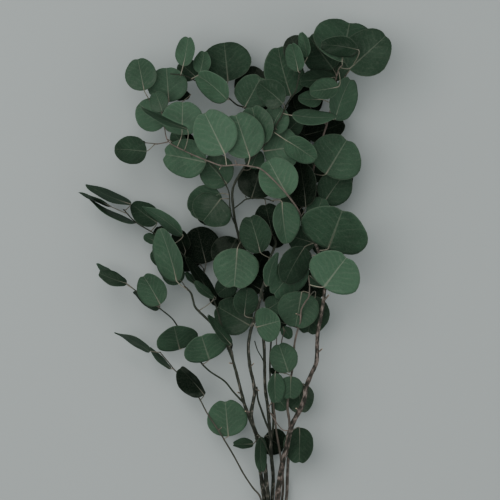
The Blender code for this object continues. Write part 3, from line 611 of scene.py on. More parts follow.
def hidden_leaves(blades, threads, nodes, draw):
    """More leaves at the back, where the leaves in front hide them from above."""
    added = []
    for _ in range(BACK_LEAF_TRIES):
        number = draw.randrange(len(threads))
        place, _ = threads[number][draw.randrange(len(threads[number]))]
        heading = draw.uniform(0.0, 2.0 * math.pi)
        size = draw.uniform(*BACK_LEAF_SIZE)
        off = draw.uniform(8.0, 16.0)
        drop = draw.uniform(8.0, 26.0)
        shape = draw.uniform(0.75, 1.1)
        # Leaves hidden at the back take only the darker levels: painted shade
        tone = draw.choice((DARK, DEEP, MID))
        height = max(5.0, place.z - drop)
        if place.y < LEAFY_FROM or place.z < LEAFY_HEIGHT:
            continue
        base = (place.x + off * math.cos(heading), place.y + off * math.sin(heading))
        tip = (base[0] + size * math.cos(heading), base[1] + size * math.sin(heading))
        blade = lay_blade(nodes[number], Leaf(base, tip, size * shape, height, tone), draw, threads)
        spots = fill_points(blade)
        over = [other for other in blades if other.base.z > height and not apart(blade, other)]
        if not all(any(height_at(other, x, y) is not None for other in over) for x, y in spots[-20:]):
            continue
        if any(math.dist(fill_points(other)[0], spots[0]) < BACK_LEAF_SPACING for other in added):
            continue
        added.append(blade)
        if len(added) == BACK_LEAF_COUNT:
            break
    return added


def layout():
    """Every blade and the bend of its petiole, clear of one another and of the twigs."""
    draw = random.Random(LAYOUT_SEED)
    threads = [thread(twig) for twig in TWIGS]
    nodes = [twig.node for twig in TWIGS]
    blades = [lay_blade(twig.node, leaf, draw, threads) for twig in TWIGS for leaf in twig.leaves]
    blades += hidden_leaves(blades, threads, nodes, draw)
    blades = spread_heights(blades, threads)
    bends = []
    taken = []
    for own in range(len(blades)):
        bend = route_petiole(own, blades, threads, nodes, taken)
        bends.append(bend)
        taken += curve_to(*bend)
    return blades, bends


def girth_at(place, node):
    """Girth of the nearest twig of a stem."""
    groups = [group for twig, group in zip(TWIGS, THREADS) if twig.node == node]
    return 2.0 * min(((spot - place).length, radius) for group in groups for spot, radius in group)[1]


NODES = sorted({twig.node for twig in TWIGS})
THREADS = [thread(twig) for twig in TWIGS]
BLADES, BENDS = layout()


def smooth_route(points, radii, steps):
    """A smooth curve through the points, with a radius at each of its own points."""
    ends = [points[0] * 2 - points[1]] + list(points) + [points[-1] * 2 - points[-2]]
    path = []
    for index in range(len(points) - 1):
        a, b, c, d = ends[index:index + 4]
        for step in range(steps):
            t = step / steps
            bend = (a * 2 - b * 5 + c * 4 - d) * t ** 2 + (b * 3 - a - c * 3 + d) * t ** 3
            place = 0.5 * (b * 2 + (c - a) * t + bend)
            path.append((place, radii[index] + (radii[index + 1] - radii[index]) * t))
    path.append((points[-1], radii[-1]))
    return path


def lump_at(angle, run, phases):
    """How much a stem swells at an angle round it and a run along it, as a share of its knots."""
    lump = math.sin(angle * 2 + run * 0.21 + phases[0])
    lump += math.sin(angle * 3 - run * 0.13 + phases[1])
    lump += math.sin(run * 0.45 + phases[2]) + 0.6 * math.sin(run * 1.3 + angle + phases[3])
    return lump


class Solid:
    """A mesh in the making, with a plan of its surface and the measures that its material reads."""

    def __init__(self):
        self.shape = bmesh.new()
        self.plan = self.shape.loops.layers.uv.new("plan")
        self.measures = {}
        for name in ("tone", "patch", "edge", "under"):
            self.measures[name] = self.shape.verts.layers.float.new(name)

    def point(self, place, **measures):
        vertex = self.shape.verts.new((place + SHIFT) * METRES)
        for name, value in measures.items():
            vertex[self.measures[name]] = value
        return vertex

    def face(self, corners, plans, slot=0):
        face = self.shape.faces.new(corners)
        face.smooth = True
        face.material_index = slot
        for loop, place in zip(face.loops, plans):
            loop[self.plan].uv = place
        return face

    def tube(self, path, sides, tone, patch, knots=0.0, seed=0, cut=0.0):
        """A closed tube along a path of places and radii, with gentle lumps and plain or cut ends."""
        draw = random.Random(seed)
        phases = [draw.uniform(*PHASES) for _ in range(4)]
        rings = []
        guide = Vector((0.3, -0.2, 1.0))
        run = 0.0
        for index, (place, radius) in enumerate(path):
            before = path[max(index - 1, 0)][0]
            after = path[min(index + 1, len(path) - 1)][0]
            ahead = unit(after - before)
            side = unit(guide - ahead * guide.dot(ahead))
            guide = side
            over = ahead.cross(side)
            if index:
                run += (place - path[index - 1][0]).length
            ring = []
            for step in range(sides):
                angle = 2.0 * math.pi * step / sides
                reach = radius * (1.0 + knots * lump_at(angle, run, phases))
                offset = (side * math.cos(angle) + over * math.sin(angle)) * reach
                slant = ahead * (cut * radius * math.cos(angle)) if cut and index == 0 else Vector((0, 0, 0))
                ring.append(self.point(place + offset + slant, tone=tone, patch=patch, edge=radius))
            rings.append((ring, run))
        for (lower, low_run), (upper, high_run) in zip(rings, rings[1:]):
            for step in range(sides):
                following = (step + 1) % sides
                left = step / sides
                right = (step + 1) / sides
                self.face((lower[step], lower[following], upper[following], upper[step]),
                          ((left, low_run), (right, low_run), (right, high_run), (left, high_run)))
        turns = [2.0 * math.pi * step / sides for step in range(sides)]
        circle = [(0.5 + 0.5 * math.cos(turn), 0.5 + 0.5 * math.sin(turn)) for turn in turns]
        self.close_end(rings[0][0][::-1], circle[::-1], tone, 1 if cut else 0)
        self.close_end(rings[-1][0], circle, tone, 0)

    def close_end(self, ring, spots, tone, slot):
        """Close one end of a tube: in slot 0 with its bark, in slot 1 as flat cut wood."""
        hub = Vector((0, 0, 0))
        for vertex in ring:
            hub += vertex.co
        middle = self.shape.verts.new(hub / len(ring))
        middle[self.measures["tone"]] = tone
        for step in range(len(ring)):
            following = (step + 1) % len(ring)
            face = self.face((ring[step], ring[following], middle),
                             (spots[step], spots[following], (0.5, 0.5)), slot)
            face.smooth = slot == 0

    def finish(self, name, materials, node):
        mesh = bpy.data.meshes.new(name)
        bmesh.ops.recalc_face_normals(self.shape, faces=self.shape.faces)
        self.shape.to_mesh(mesh)
        self.shape.free()
        for material in materials:
            mesh.materials.append(material)
        piece = bpy.data.objects.new(name, mesh)
        bpy.context.scene.collection.objects.link(piece)
        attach(piece, "root")
        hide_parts(node)


def blade_sides(solid, blade, look, index):
    """Points of the top (1) and the back (-1) of a blade: its middle, and rows of them out to the margin."""
    draw = random.Random(FIRST_BLADE_SEED + index)
    on_edge = min(max((0.6 - abs(blade.normal.z)) / 0.2, 0.0), 1.0)
    notch = draw.choice(NOTCHES) * look.notch_depth * (1.0 - on_edge)
    phases = [draw.uniform(*PHASES) for _ in range(5)]
    wave = look.margin_wave * draw.uniform(0.5, 1.0) * MILLIMETRES
    ragged = draw.uniform(0.6, 1.3) * look.margin_unevenness
    patch = draw.random()
    half = look.blade_thickness * HALF
    middle = blade.length / 2.0
    sides = {}
    for side in (1, -1):
        under = 0.0 if side == 1 else 1.0
        rows = []
        for ring in BLADE_RINGS:
            row = []
            for spoke in range(BLADE_SPOKES):
                turn = spoke / BLADE_SPOKES
                angle = 2.0 * math.pi * turn - 0.22 * math.sin(4.0 * math.pi * turn)
                along = 0.5 - 0.5 * math.cos(angle)
                across = 0.5 * math.sin(angle) * (1.0 + 0.10 * math.cos(angle))
                across *= 1.0 - look.point_narrowing * on_edge * along ** 3
                uneven = math.sin(3 * angle + phases[0]) + 0.6 * math.sin(5 * angle + phases[1])
                uneven += 0.35 * math.sin(11 * angle + phases[2])
                along = 0.5 + (along - 0.5) * (1.0 + ragged * uneven * math.sin(angle) ** 2)
                across *= 1.0 + ragged * uneven * math.sin(angle) ** 2
                along -= notch * math.exp(-((angle - math.pi) / 0.2) ** 2)
                along = middle + (along * blade.length - middle) * ring
                across = across * blade.breadth * ring
                place = surface(blade, along, across)
                ripple = math.sin(2 * angle + phases[3]) + 0.5 * math.sin(5 * angle + phases[4])
                lift = wave * ring ** 2 * ripple if not blade.steady else 0.0
                thin = 1.0 - 0.45 * ring ** 4
                place += blade.normal * (lift + side * half * thin)
                vertex = solid.point(place, tone=blade.tone, patch=patch, edge=ring, under=under)
                row.append((vertex, (along / blade.length, 0.5 + across / blade.breadth)))
            rows.append(row)
        hub = surface(blade, middle, 0.0) + blade.normal * (side * half)
        centre = (solid.point(hub, tone=blade.tone, patch=patch, edge=0.0, under=under), (0.5, 0.5))
        sides[side] = (centre, rows)
    return sides


def add_blade(solid, blade, look, index):
    """One leaf blade: round and notched, or pointed where it stands on edge, folded, with a waved margin."""
    sides = blade_sides(solid, blade, look, index)
    for side, (centre, rows) in sides.items():
        for spoke in range(BLADE_SPOKES):
            following = (spoke + 1) % BLADE_SPOKES
            solid.face(*zip(*(centre, rows[0][spoke], rows[0][following])[::side]))
            for inner, outer in zip(rows, rows[1:]):
                quad = (inner[spoke], outer[spoke], outer[following], inner[following])
                solid.face(*zip(*quad[::side]))
    top_rim = sides[1][1][-1]
    bottom_rim = sides[-1][1][-1]
    for spoke in range(BLADE_SPOKES):
        following = (spoke + 1) % BLADE_SPOKES
        solid.face(*zip(top_rim[spoke], bottom_rim[spoke], bottom_rim[following], top_rim[following]))


def add_stalk(solid, blade, bend, look, index):
    """A leaf stalk from its twig to the blade, running on along the blade as the raised midrib."""
    place, knee, root = bend
    thick = look.stalk_thickness * HALF
    thin = look.blade_thickness * HALF
    path = [(spot, thick) for spot in curve_to(place, knee, root, STALK_POINTS)]
    path[0] = (path[0][0], thick * 1.4)
    for step in range(1, STALK_POINTS + 1):
        part = step / STALK_POINTS
        along = (RIB_START + RIB_REACH * part) * blade.length
        sink = blade.normal * (thin * 0.8 * part ** 3)
        path.append((surface(blade, along, 0.0) - sink, max(thick * (0.86 - 0.5 * part), thin * 1.12)))
    solid.tube(path, STALK_SIDES, blade.tone, index * STALK_PATCH_STEP % 1.0, STALK_KNOTS, seed=index)


def add_knuckle(solid, place, radius, tone):
    """The slight swelling of a twig where a leaf stalk or a side twig leaves it."""
    rings = []
    for level in (-0.75, -0.3, 0.3, 0.75):
        wide = math.sqrt(1.0 - level * level) * radius
        rings.append([solid.point(place + Vector((math.cos(a) * wide, math.sin(a) * wide, level * radius)),
                                  tone=tone, patch=0.5, edge=radius)
                      for a in (2 * math.pi * s / KNUCKLE_SIDES for s in range(KNUCKLE_SIDES))])
    for lower, upper in zip(rings, rings[1:]):
        for step in range(KNUCKLE_SIDES):
            following = (step + 1) % KNUCKLE_SIDES
            solid.face((lower[step], lower[following], upper[following], upper[step]),
                       ((0, 0), (0.1, 0), (0.1, 1), (0, 1)))
    for ring in (rings[0][::-1], rings[-1]):
        solid.face(ring, [(0, 0)] * KNUCKLE_SIDES)


class Graph:
    """Short ways to add and join shader nodes."""

    def __init__(self, tree):
        self.tree = tree

    def add(self, kind, **settings):
        node = self.tree.nodes.new(kind)
        for name, value in settings.items():
            setattr(node, name, value)
        return node

    def join(self, source, target):
        self.tree.links.new(source, target)

    def put(self, target, value):
        if isinstance(value, (int, float, tuple)):
            target.default_value = value
        else:
            self.join(value, target)

    def sum(self, operation, first, second=0.0, third=0.0, clamp=False):
        node = self.add("ShaderNodeMath", operation=operation, use_clamp=clamp)
        for socket, value in zip(node.inputs, (first, second, third)):
            self.put(socket, value)
        return node.outputs[0]

    def times(self, *factors):
        product = factors[0]
        for factor in factors[1:]:
            product = self.sum("MULTIPLY", product, factor)
        return product

    def line(self, value, slope, start, clamp=False):
        return self.sum("MULTIPLY_ADD", value, slope, start, clamp)

    def vector(self, operation, first, second=None):
        node = self.add("ShaderNodeVectorMath", operation=operation)
        self.join(first, node.inputs[0])
        if second is not None:
            self.put(node.inputs[1], second)
        return node

    def blend(self, factor, first, second, kind="MIX"):
        """Mix two colours, each a socket or a colour of the look."""
        node = self.add("ShaderNodeMix", data_type="RGBA", blend_type=kind)
        self.put(node.inputs[0], factor)
        for socket, value in ((node.inputs[6], first), (node.inputs[7], second)):
            self.put(socket, value if isinstance(value, bpy.types.NodeSocket) else (*value, 1.0))
        return node.outputs[2]

    def fade(self, value, low, high):
        """0 below low, 1 above high, smooth between; falls instead where low is above high."""
        node = self.add("ShaderNodeMapRange", interpolation_type="SMOOTHSTEP")
        self.put(node.inputs["Value"], value)
        flip = isinstance(low, float) and isinstance(high, float) and low > high
        self.put(node.inputs["From Min"], high if flip else low)
        self.put(node.inputs["From Max"], low if flip else high)
        node.inputs["To Min"].default_value = 1.0 if flip else 0.0
        node.inputs["To Max"].default_value = 0.0 if flip else 1.0
        return node.outputs["Result"]

    def noise(self, place, scale, detail=2.0, roughness=0.5):
        node = self.add("ShaderNodeTexNoise")
        self.join(place, node.inputs["Vector"])
        node.inputs["Scale"].default_value = scale
        node.inputs["Detail"].default_value = detail
        node.inputs["Roughness"].default_value = roughness
        return node.outputs["Fac"]

    def measure(self, name):
        return self.add("ShaderNodeAttribute", attribute_name=name).outputs["Fac"]

    def plan(self):
        return self.add("ShaderNodeUVMap", uv_map="plan").outputs["UV"]

    def place(self):
        return self.add("ShaderNodeTexCoord").outputs["Object"]

    def axes(self, vector):
        node = self.add("ShaderNodeSeparateXYZ")
        self.join(vector, node.inputs[0])
        return node.outputs


def new_group(name, inputs, outputs):
    tree = bpy.data.node_groups.new(name, "ShaderNodeTree")
    for label, kind, default in inputs:
        socket = tree.interface.new_socket(label, in_out="INPUT", socket_type=kind)
        if default is not None:
            socket.default_value = default
    for label, kind in outputs:
        tree.interface.new_socket(label, in_out="OUTPUT", socket_type=kind)
    graph = Graph(tree)
    source = graph.add("NodeGroupInput")
    target = graph.add("NodeGroupOutput")
    return graph, source.outputs, target.inputs


def vein_group():
    """Midrib, side veins and the fine net between them, drawn in the plan of one leaf."""
    graph, given, out = new_group(
        "leaf veins",
        [("Plan", "NodeSocketVector", None), ("Side Veins", "NodeSocketFloat", 7.0),
         ("Vein Width", "NodeSocketFloat", 0.05), ("Shift", "NodeSocketFloat", 0.0)],
        [("Midrib", "NodeSocketFloat"), ("Side", "NodeSocketFloat"), ("Net", "NodeSocketFloat")])
    along, across, _ = graph.axes(given["Plan"])
    aside = graph.times(graph.sum("ABSOLUTE", graph.sum("SUBTRACT", across, 0.5)), 2.0)
    strayed = graph.vector("ADD", given["Plan"], given["Shift"]).outputs[0]
    stray = graph.sum("SUBTRACT", graph.noise(strayed, 3.0, 3.0), 0.5)
    wobble = graph.times(stray, 0.3)
    presence = graph.fade(graph.noise(strayed, 4.5, 1.0), 0.36, 0.66)
    rib_width = graph.line(along, -0.034, 0.042)
    midrib = graph.fade(graph.sum("SUBTRACT", aside, rib_width), 0.012, -0.006)
    lean = graph.line(aside, -0.46, along)
    bow = graph.line(graph.times(aside, aside), 0.10, lean)
    course = graph.sum("ADD", graph.sum("ADD", bow, wobble), given["Shift"])
    turn = graph.sum("PINGPONG", graph.times(course, given["Side Veins"]), 0.5)
    width = graph.times(given["Vein Width"], graph.line(aside, -0.75, 1.0))
    side_vein = graph.sum("SUBTRACT", 1.0, graph.sum("DIVIDE", turn, width, clamp=True), clamp=True)
    glow = graph.times(graph.fade(turn, 0.3, 0.0), 0.3)
    side_vein = graph.times(graph.sum("MAXIMUM", side_vein, glow), graph.line(presence, 0.75, 0.25))
    side_vein = graph.times(side_vein, graph.fade(aside, 0.98, 0.7))
    cells = graph.add("ShaderNodeTexVoronoi", feature="DISTANCE_TO_EDGE")
    graph.join(strayed, cells.inputs["Vector"])
    cells.inputs["Scale"].default_value = 17.0
    net = graph.fade(cells.outputs["Distance"], 0.07, 0.0)
    graph.join(midrib, out["Midrib"])
    graph.join(side_vein, out["Side"])
    graph.join(net, out["Net"])


def mottle_group():
    """Soft uneven patches at two sizes, for leaves and bark alike."""
    graph, given, out = new_group(
        "mottle",
        [("Place", "NodeSocketVector", None), ("Size", "NodeSocketFloat", 60.0),
         ("Contrast", "NodeSocketFloat", 1.0)],
        [("Patches", "NodeSocketFloat"), ("Grain", "NodeSocketFloat")])
    scale = graph.vector("SCALE", given["Place"])
    graph.join(given["Size"], scale.inputs["Scale"])
    scaled = scale.outputs[0]
    broad = graph.noise(scaled, 1.0, 3.0, 0.55)
    centred = graph.times(graph.sum("SUBTRACT", broad, 0.5), given["Contrast"])
    graph.join(graph.sum("ADD", centred, 0.5, clamp=True), out["Patches"])
    graph.join(graph.noise(scaled, 9.0, 4.0, 0.6), out["Grain"])


def place_group(graph, group, **values):
    node = graph.add("ShaderNodeGroup")
    node.node_tree = bpy.data.node_groups[group]
    for name, value in values.items():
        graph.put(node.inputs[name.replace("_", " ")], value)
    return node.outputs


def new_material(name):
    material = bpy.data.materials.new(name)
    material.use_nodes = True
    graph = Graph(material.node_tree)
    shader = material.node_tree.nodes["Principled BSDF"]
    return material, graph, shader


def raise_height(graph, shader, height, strength, distance):
    bump = graph.add("ShaderNodeBump")
    bump.inputs["Strength"].default_value = strength
    bump.inputs["Distance"].default_value = distance
    graph.join(height, bump.inputs["Height"])
    graph.join(bump.outputs["Normal"], shader.inputs["Normal"])


def leaf_material(look):
    """Waxy grey-green blade, darker and lighter leaf by leaf in own green and painted shade, with pale veins
    and a fine pale margin.
    """
    material, graph, shader = new_material("waxy leaf")
    plan = graph.plan()
    place = graph.place()
    tone = graph.measure("tone")
    patch = graph.measure("patch")
    edge = graph.measure("edge")
    under = graph.measure("under")
    mottle = place_group(graph, "mottle", Place=place, Size=34.0, Contrast=2.0)
    veins = place_group(graph, "leaf veins", Plan=plan, Side_Veins=7.0, Vein_Width=0.07, Shift=patch)
    uneven = graph.times(graph.sum("SUBTRACT", mottle["Patches"], 0.5), 0.55)
    uneven = graph.line(graph.sum("SUBTRACT", patch, 0.5), 0.2, uneven)
    # The level paints how lit a leaf is from its tone and shade value and the mottle: low levels are painted
    # shade, high levels painted light
    level = graph.line(uneven, graph.line(tone, 0.75, 0.25), tone, clamp=True)
    level = graph.sum("POWER", level, 0.85)
    colour = graph.blend(level, look.shaded_leaf_green, look.lit_leaf_green)
    dusky = graph.times(graph.fade(patch, 0.72, 0.85), graph.fade(mottle["Patches"], 0.45, 0.75),
                        graph.fade(tone, 0.9, 0.6), 0.25)
    colour = graph.blend(dusky, colour, look.leaf_dusky)
    colour = graph.blend(graph.times(under, 0.55), colour, look.leaf_under)
    grain = graph.line(mottle["Grain"], 0.5, 0.75)
    colour = graph.blend(1.0, colour, grain, "MULTIPLY")
    # Side veins and midrib show paler on leaves painted as lit: painted light
    bright = graph.line(level, 0.8, 0.2)
    margin = graph.fade(edge, 0.955, 1.0)
    pale = (graph.times(veins["Net"], 0.07), graph.times(veins["Side"], bright, 0.25),
            graph.times(veins["Midrib"], bright, 0.38), graph.times(margin, 0.16))
    for share in pale:
        colour = graph.blend(share, colour, look.vein_colour)
    graph.join(colour, shader.inputs["Base Color"])
    gloss = graph.line(mottle["Grain"], 0.25, 0.5)
    graph.join(graph.line(under, 0.15, gloss), shader.inputs["Roughness"])
    # Leaves painted as shaded are also less specular
    graph.join(graph.line(tone, 0.18, 0.03), shader.inputs["Specular IOR Level"])
    height = graph.times(veins["Midrib"], 0.6)
    for relief, share in ((veins["Side"], 0.3), (mottle["Patches"], 1.1), (veins["Net"], 0.12),
                          (mottle["Grain"], 0.2)):
        height = graph.line(relief, share, height)
    raise_height(graph, shader, height, 0.55, 0.0011)
    return material


def stalk_material(look):
    """Slim pink-beige stalks, greener and duller where they run on as the midrib."""
    material, graph, shader = new_material("leaf stalk")
    place = graph.place()
    mottle = place_group(graph, "mottle", Place=place, Size=180.0, Contrast=1.6)
    tone = graph.line(graph.measure("tone"), 0.6, 0.4)
    colour = graph.blend(mottle["Patches"], look.stalk_colour, look.stalk_green)
    radius = look.stalk_thickness * HALF
    rib = graph.fade(graph.measure("edge"), radius * 0.84, radius * 0.6)
    colour = graph.blend(graph.times(rib, 0.8), colour, look.rib_colour)
    # Stalks of leaves painted as shaded are darkened towards the shaded leaf green: painted shade
    colour = graph.blend(graph.sum("SUBTRACT", 1.0, tone), colour, look.shaded_leaf_green)
    graph.join(colour, shader.inputs["Base Color"])
    shader.inputs["Roughness"].default_value = 0.5
    shader.inputs["Specular IOR Level"].default_value = 0.35
    raise_height(graph, shader, mottle["Grain"], 0.3, 0.0004)
    return material


def bark_material(look):
    """Bark: pink-brown on thin twigs, green to grey-brown on thick stems; pale streaks partly weathering,
    partly painted highlight.
    """
    material, graph, shader = new_material("twig bark")
    plan = graph.plan()
    place = graph.place()
    girth = graph.measure("edge")
    thick = graph.fade(girth, 1.0, 2.4)
    strings = graph.add("ShaderNodeMapping")
    graph.join(plan, strings.inputs["Vector"])
    strings.inputs["Scale"].default_value = (2.6, 0.075, 1.0)
    fibre = graph.noise(strings.outputs[0], 1.3, 4.0, 0.58)
    brown = graph.measure("tone")
    mottle = place_group(graph, "mottle", Place=place, Size=110.0, Contrast=2.2)
    young = graph.blend(mottle["Patches"], look.twig_colour, look.twig_shade)
    young = graph.blend(brown, look.bark_green, young)
    ground = graph.blend(brown, look.bark_green, look.bark_colour)
    old = graph.blend(graph.fade(fibre, 0.42, 0.58), look.bark_shade, ground)
    # Pale grey streaks: partly weathered bark, partly painted highlight along the stems
    worn_and_highlight = graph.times(graph.fade(mottle["Patches"], 0.45, 0.7), graph.fade(fibre, 0.45, 0.6),
                       graph.line(brown, 0.5, 0.2))
    highlight_streak = graph.times(graph.fade(fibre, 0.57, 0.63), 0.75)
    old = graph.blend(graph.sum("MAXIMUM", worn_and_highlight, highlight_streak), old, look.bark_grey)
    colour = graph.blend(thick, young, old)
    graph.join(colour, shader.inputs["Base Color"])
    graph.join(graph.line(fibre, 0.3, 0.5), shader.inputs["Roughness"])
    shader.inputs["Specular IOR Level"].default_value = 0.3
    rough = graph.times(fibre, graph.line(thick, 0.8, 0.2))
    raise_height(graph, shader, graph.line(mottle["Grain"], 0.35, rough), 0.9, 0.002)
    return material


def cut_wood_material(look):
    """The cut ends: pale wood with a ring or two and a darker rim."""
    material, graph, shader = new_material("cut wood")
    centred = graph.vector("SUBTRACT", graph.plan(), (0.5, 0.5, 0.0)).outputs[0]
    radius = graph.vector("LENGTH", centred).outputs["Value"]
    rings = graph.sum("PINGPONG", graph.times(radius, 7.0), 0.5)
    colour = graph.blend(rings, look.wood_colour, look.stalk_colour)
    colour = graph.blend(graph.fade(radius, 0.40, 0.46), colour, look.bark_shade)
    graph.join(colour, shader.inputs["Base Color"])
    shader.inputs["Roughness"].default_value = 0.8
    raise_height(graph, shader, rings, 0.2, 0.0003)
    return material


def floor_material(look):
    """The plain pale floor, with a faint unevenness of tint."""
    material, graph, shader = new_material("pale floor")
    place = graph.place()
    tint = graph.noise(place, 1.2, 2.0)
    shaded = [channel * 0.97 for channel in look.floor_colour]
    shade = graph.blend(tint, shaded, look.floor_colour)
    graph.join(shade, shader.inputs["Base Color"])
    shader.inputs["Roughness"].default_value = 0.9
    shader.inputs["Specular IOR Level"].default_value = 0.1
    return material


def material_named(name, maker, look):
    return bpy.data.materials.get(name) or maker(look)


def colour_property(name, description, default):
    return FloatVectorProperty(name=name, description=description, default=default, subtype="COLOR", size=3,
                               min=0.0, max=1.0)


def size_property(name, description, default):
    return FloatProperty(name=name, description=description, default=default, min=0.0, unit="LENGTH",
                         subtype="DISTANCE", precision=5)


def share_property(name, description, default, low, high):
    return FloatProperty(name=name, description=description, default=default, min=low, max=high,
                         subtype="FACTOR")


class BunchLook(bpy.types.PropertyGroup):
    """Sizes and colours of the dressed bunch."""

    blade_thickness: size_property("Blade thickness", "Thickness of a leaf blade", 0.00045)
    stalk_thickness: size_property("Stalk thickness", "Thickness of a leaf stalk", 0.0012)
    margin_wave: size_property("Margin wave", "How far the leaf margin waves out of its plane", 0.0011)
    knuckle_size: share_property("Knuckle size", "Swelling of a twig at a stalk, as a share of its girth",
                                 1.25, 1.0, 2.0)
    notch_depth: share_property("Notch depth", "Depth of the notch at the tip, as a share of the length",
                                0.055, 0.0, 0.2)
    point_narrowing: share_property("Point narrowing", "How far a leaf on edge narrows towards its tip",
                                    0.55, 0.0, 1.0)
    margin_unevenness: share_property("Margin unevenness", "How uneven the outline of a leaf is",
                                      0.016, 0.0, 0.1)
    # Dark leaf is the darkest green, painted as deep in shade; light leaf is the lightest grey-green,
    # painted as fully lit
    shaded_leaf_green: colour_property("Dark leaf", "Darkest leaf green", (0.005, 0.0105, 0.006))
    lit_leaf_green: colour_property("Light leaf", "Lightest grey-green", (0.052, 0.113, 0.064))
    leaf_dusky: colour_property("Dusky patch", "Purple-grey patches on some leaves", (0.085, 0.09, 0.075))
    leaf_under: colour_property("Underside", "Back of a leaf", (0.06, 0.105, 0.07))
    vein_colour: colour_property("Vein", "Midrib, veins and margin", (0.26, 0.28, 0.21))
    stalk_colour: colour_property("Stalk", "Leaf stalks", (0.4, 0.34, 0.28))
    stalk_green: colour_property("Green stalk", "Greener part of the stalks", (0.16, 0.18, 0.11))
    rib_colour: colour_property("Rib", "Midrib where it runs on over the blade", (0.1, 0.132, 0.088))
    twig_colour: colour_property("Young twig", "Thin twigs", (0.23, 0.175, 0.15))
    twig_shade: colour_property("Twig shade", "Darker part of the thin twigs", (0.07, 0.068, 0.05))
    bark_colour: colour_property("Bark", "Thick stems", (0.088, 0.066, 0.054))
    bark_shade: colour_property("Bark furrow", "Furrows of the bark", (0.013, 0.015, 0.009))
    # Grey bark serves both the weathered bark and the painted highlight streaks
    bark_grey: colour_property("Grey bark", "Weathered bark", (0.25, 0.21, 0.18))
    bark_green: colour_property("Green bark", "Bark of the greener stems", (0.019, 0.028, 0.015))
    wood_colour: colour_property("Cut wood", "Wood at the cut ends", (0.55, 0.43, 0.28))
    floor_colour: colour_property("Floor", "The plain floor", (0.44, 0.478, 0.462))
    camera_height: size_property("Camera height", "Height of the camera over the floor", 4.5)
    view_width: size_property("View width", "Width of the view at the bunch", 0.598)
    bark_sides: IntProperty(name="Bark sides", description="Sides of a stem's cross-section", default=12,
                            min=6, max=32)


# Stubs of pruned side twigs: stem, place on the stem, way it points, length and girth
STUBS = [
    ("stem_main", (99, 178, 75), (6, 5, 3), 7, 2.2),
    ("stem_main", (77, 108, 70), (-5, 4, 4), 6, 2.0),
    ("stem_main", (106, 240, 68), (6, 6, 2), 9, 2.4),
    ("stem_main", (-15, 401, 97), (-3, -5, 4), 7, 1.4),
    ("stem_main", (3, 401, 98), (-3, 5, 3), 6, 1.3),
    ("stem_right", (78, 222, 66), (-5, 2, 3), 6, 1.6),
    ("stem_centre", (19.5, 106, 57), (-6, 1, 3), 8, 2.0),
    ("stem_centre", (18, 160, 62), (5, 5, 3), 7, 1.8),
    ("stem_centre", (23, 134, 61), (6, -2, 3), 7, 2.0),
    ("stem_left", (-2, 164, 57), (-6, 1, 4), 6, 1.8),
    ("stem_left", (8, 128, 54), (-6, 2, 3), 6, 1.8),
    ("stem_left", (-98, 236, 44), (6, -4, 3), 9, 1.4),
    ("stem_back", (39.5, 110, 38), (4, 6, 3), 8, 1.8),
    ("stem_small", (48, 100, 38), (-5, 4, 3), 8, 1.5),
    ("twig_low", (-20, 84, 48), (5, 4, 2), 5, 1.3),
]

# How brown, rather than green, the bark of a stem is
STEM_TONES = {"stem_main": 1.0, "stem_right": 0.8, "stem_small": 0.6, "twig_low": 0.35}
GREEN_STEM = 0.06

# A stub: how far along it and how wide, as shares of its length and girth, from the cut end to the stem
STUB_SHAPE = ((1.0, 0.36), (0.8, 0.42), (0.35, 0.5), (0.0, 0.65))
STUB_TONE = 0.8
STUB_PATCH = 0.4
STUB_KNOTS = 0.05
STUB_SLANT = 0.5

# Lights: name, place, target, breadth and power; then the colour and strength of the room's own light
LIGHTS = (
    ("key", (-0.7, 0.55, 2.2), (0.0, 0.1, 0.05), 2.2, 34.0),
    ("fill", (1.3, -0.8, 1.6), (0.0, 0.0, 0.05), 2.0, 6.0),
)
ROOM_COLOUR = (0.93, 0.97, 1.0, 1.0)
ROOM_STRENGTH = 0.46
FLOOR_HALF = 4.0
FLOOR_DROP = 0.0002
SENSOR_WIDTH = 36.0
VIEW_END = 20.0


class BUNCH_OT_leaves(bpy.types.Operator):
    """Make the leaf blades of every stem"""

    bl_idname = "bunch.leaves"
    bl_label = "Leaves"

    def execute(self, context):
        look = context.scene.bunch_look
        if "leaf veins" not in bpy.data.node_groups:
            vein_group()
            mottle_group()
        material = material_named("waxy leaf", leaf_material, look)
        for name in NODES:
            solid = Solid()
            for index, blade in enumerate(BLADES):
                if blade.node == name:
                    add_blade(solid, blade, look, index)
            solid.finish(name + "_leaves", [material], name)
        return {"FINISHED"}


class BUNCH_OT_stalks(bpy.types.Operator):
    """Make the leaf stalks and midribs of every stem"""

    bl_idname = "bunch.stalks"
    bl_label = "Leaf stalks"

    def execute(self, context):
        look = context.scene.bunch_look
        if "mottle" not in bpy.data.node_groups:
            raise RuntimeError("make the leaves first: the stalks share their mottle")
        material = material_named("leaf stalk", stalk_material, look)
        for name in NODES:
            solid = Solid()
            for index, (blade, bend) in enumerate(zip(BLADES, BENDS)):
                if blade.node == name:
                    add_stalk(solid, blade, bend, look, index)
            solid.finish(name + "_stalks", [material], name)
        return {"FINISHED"}


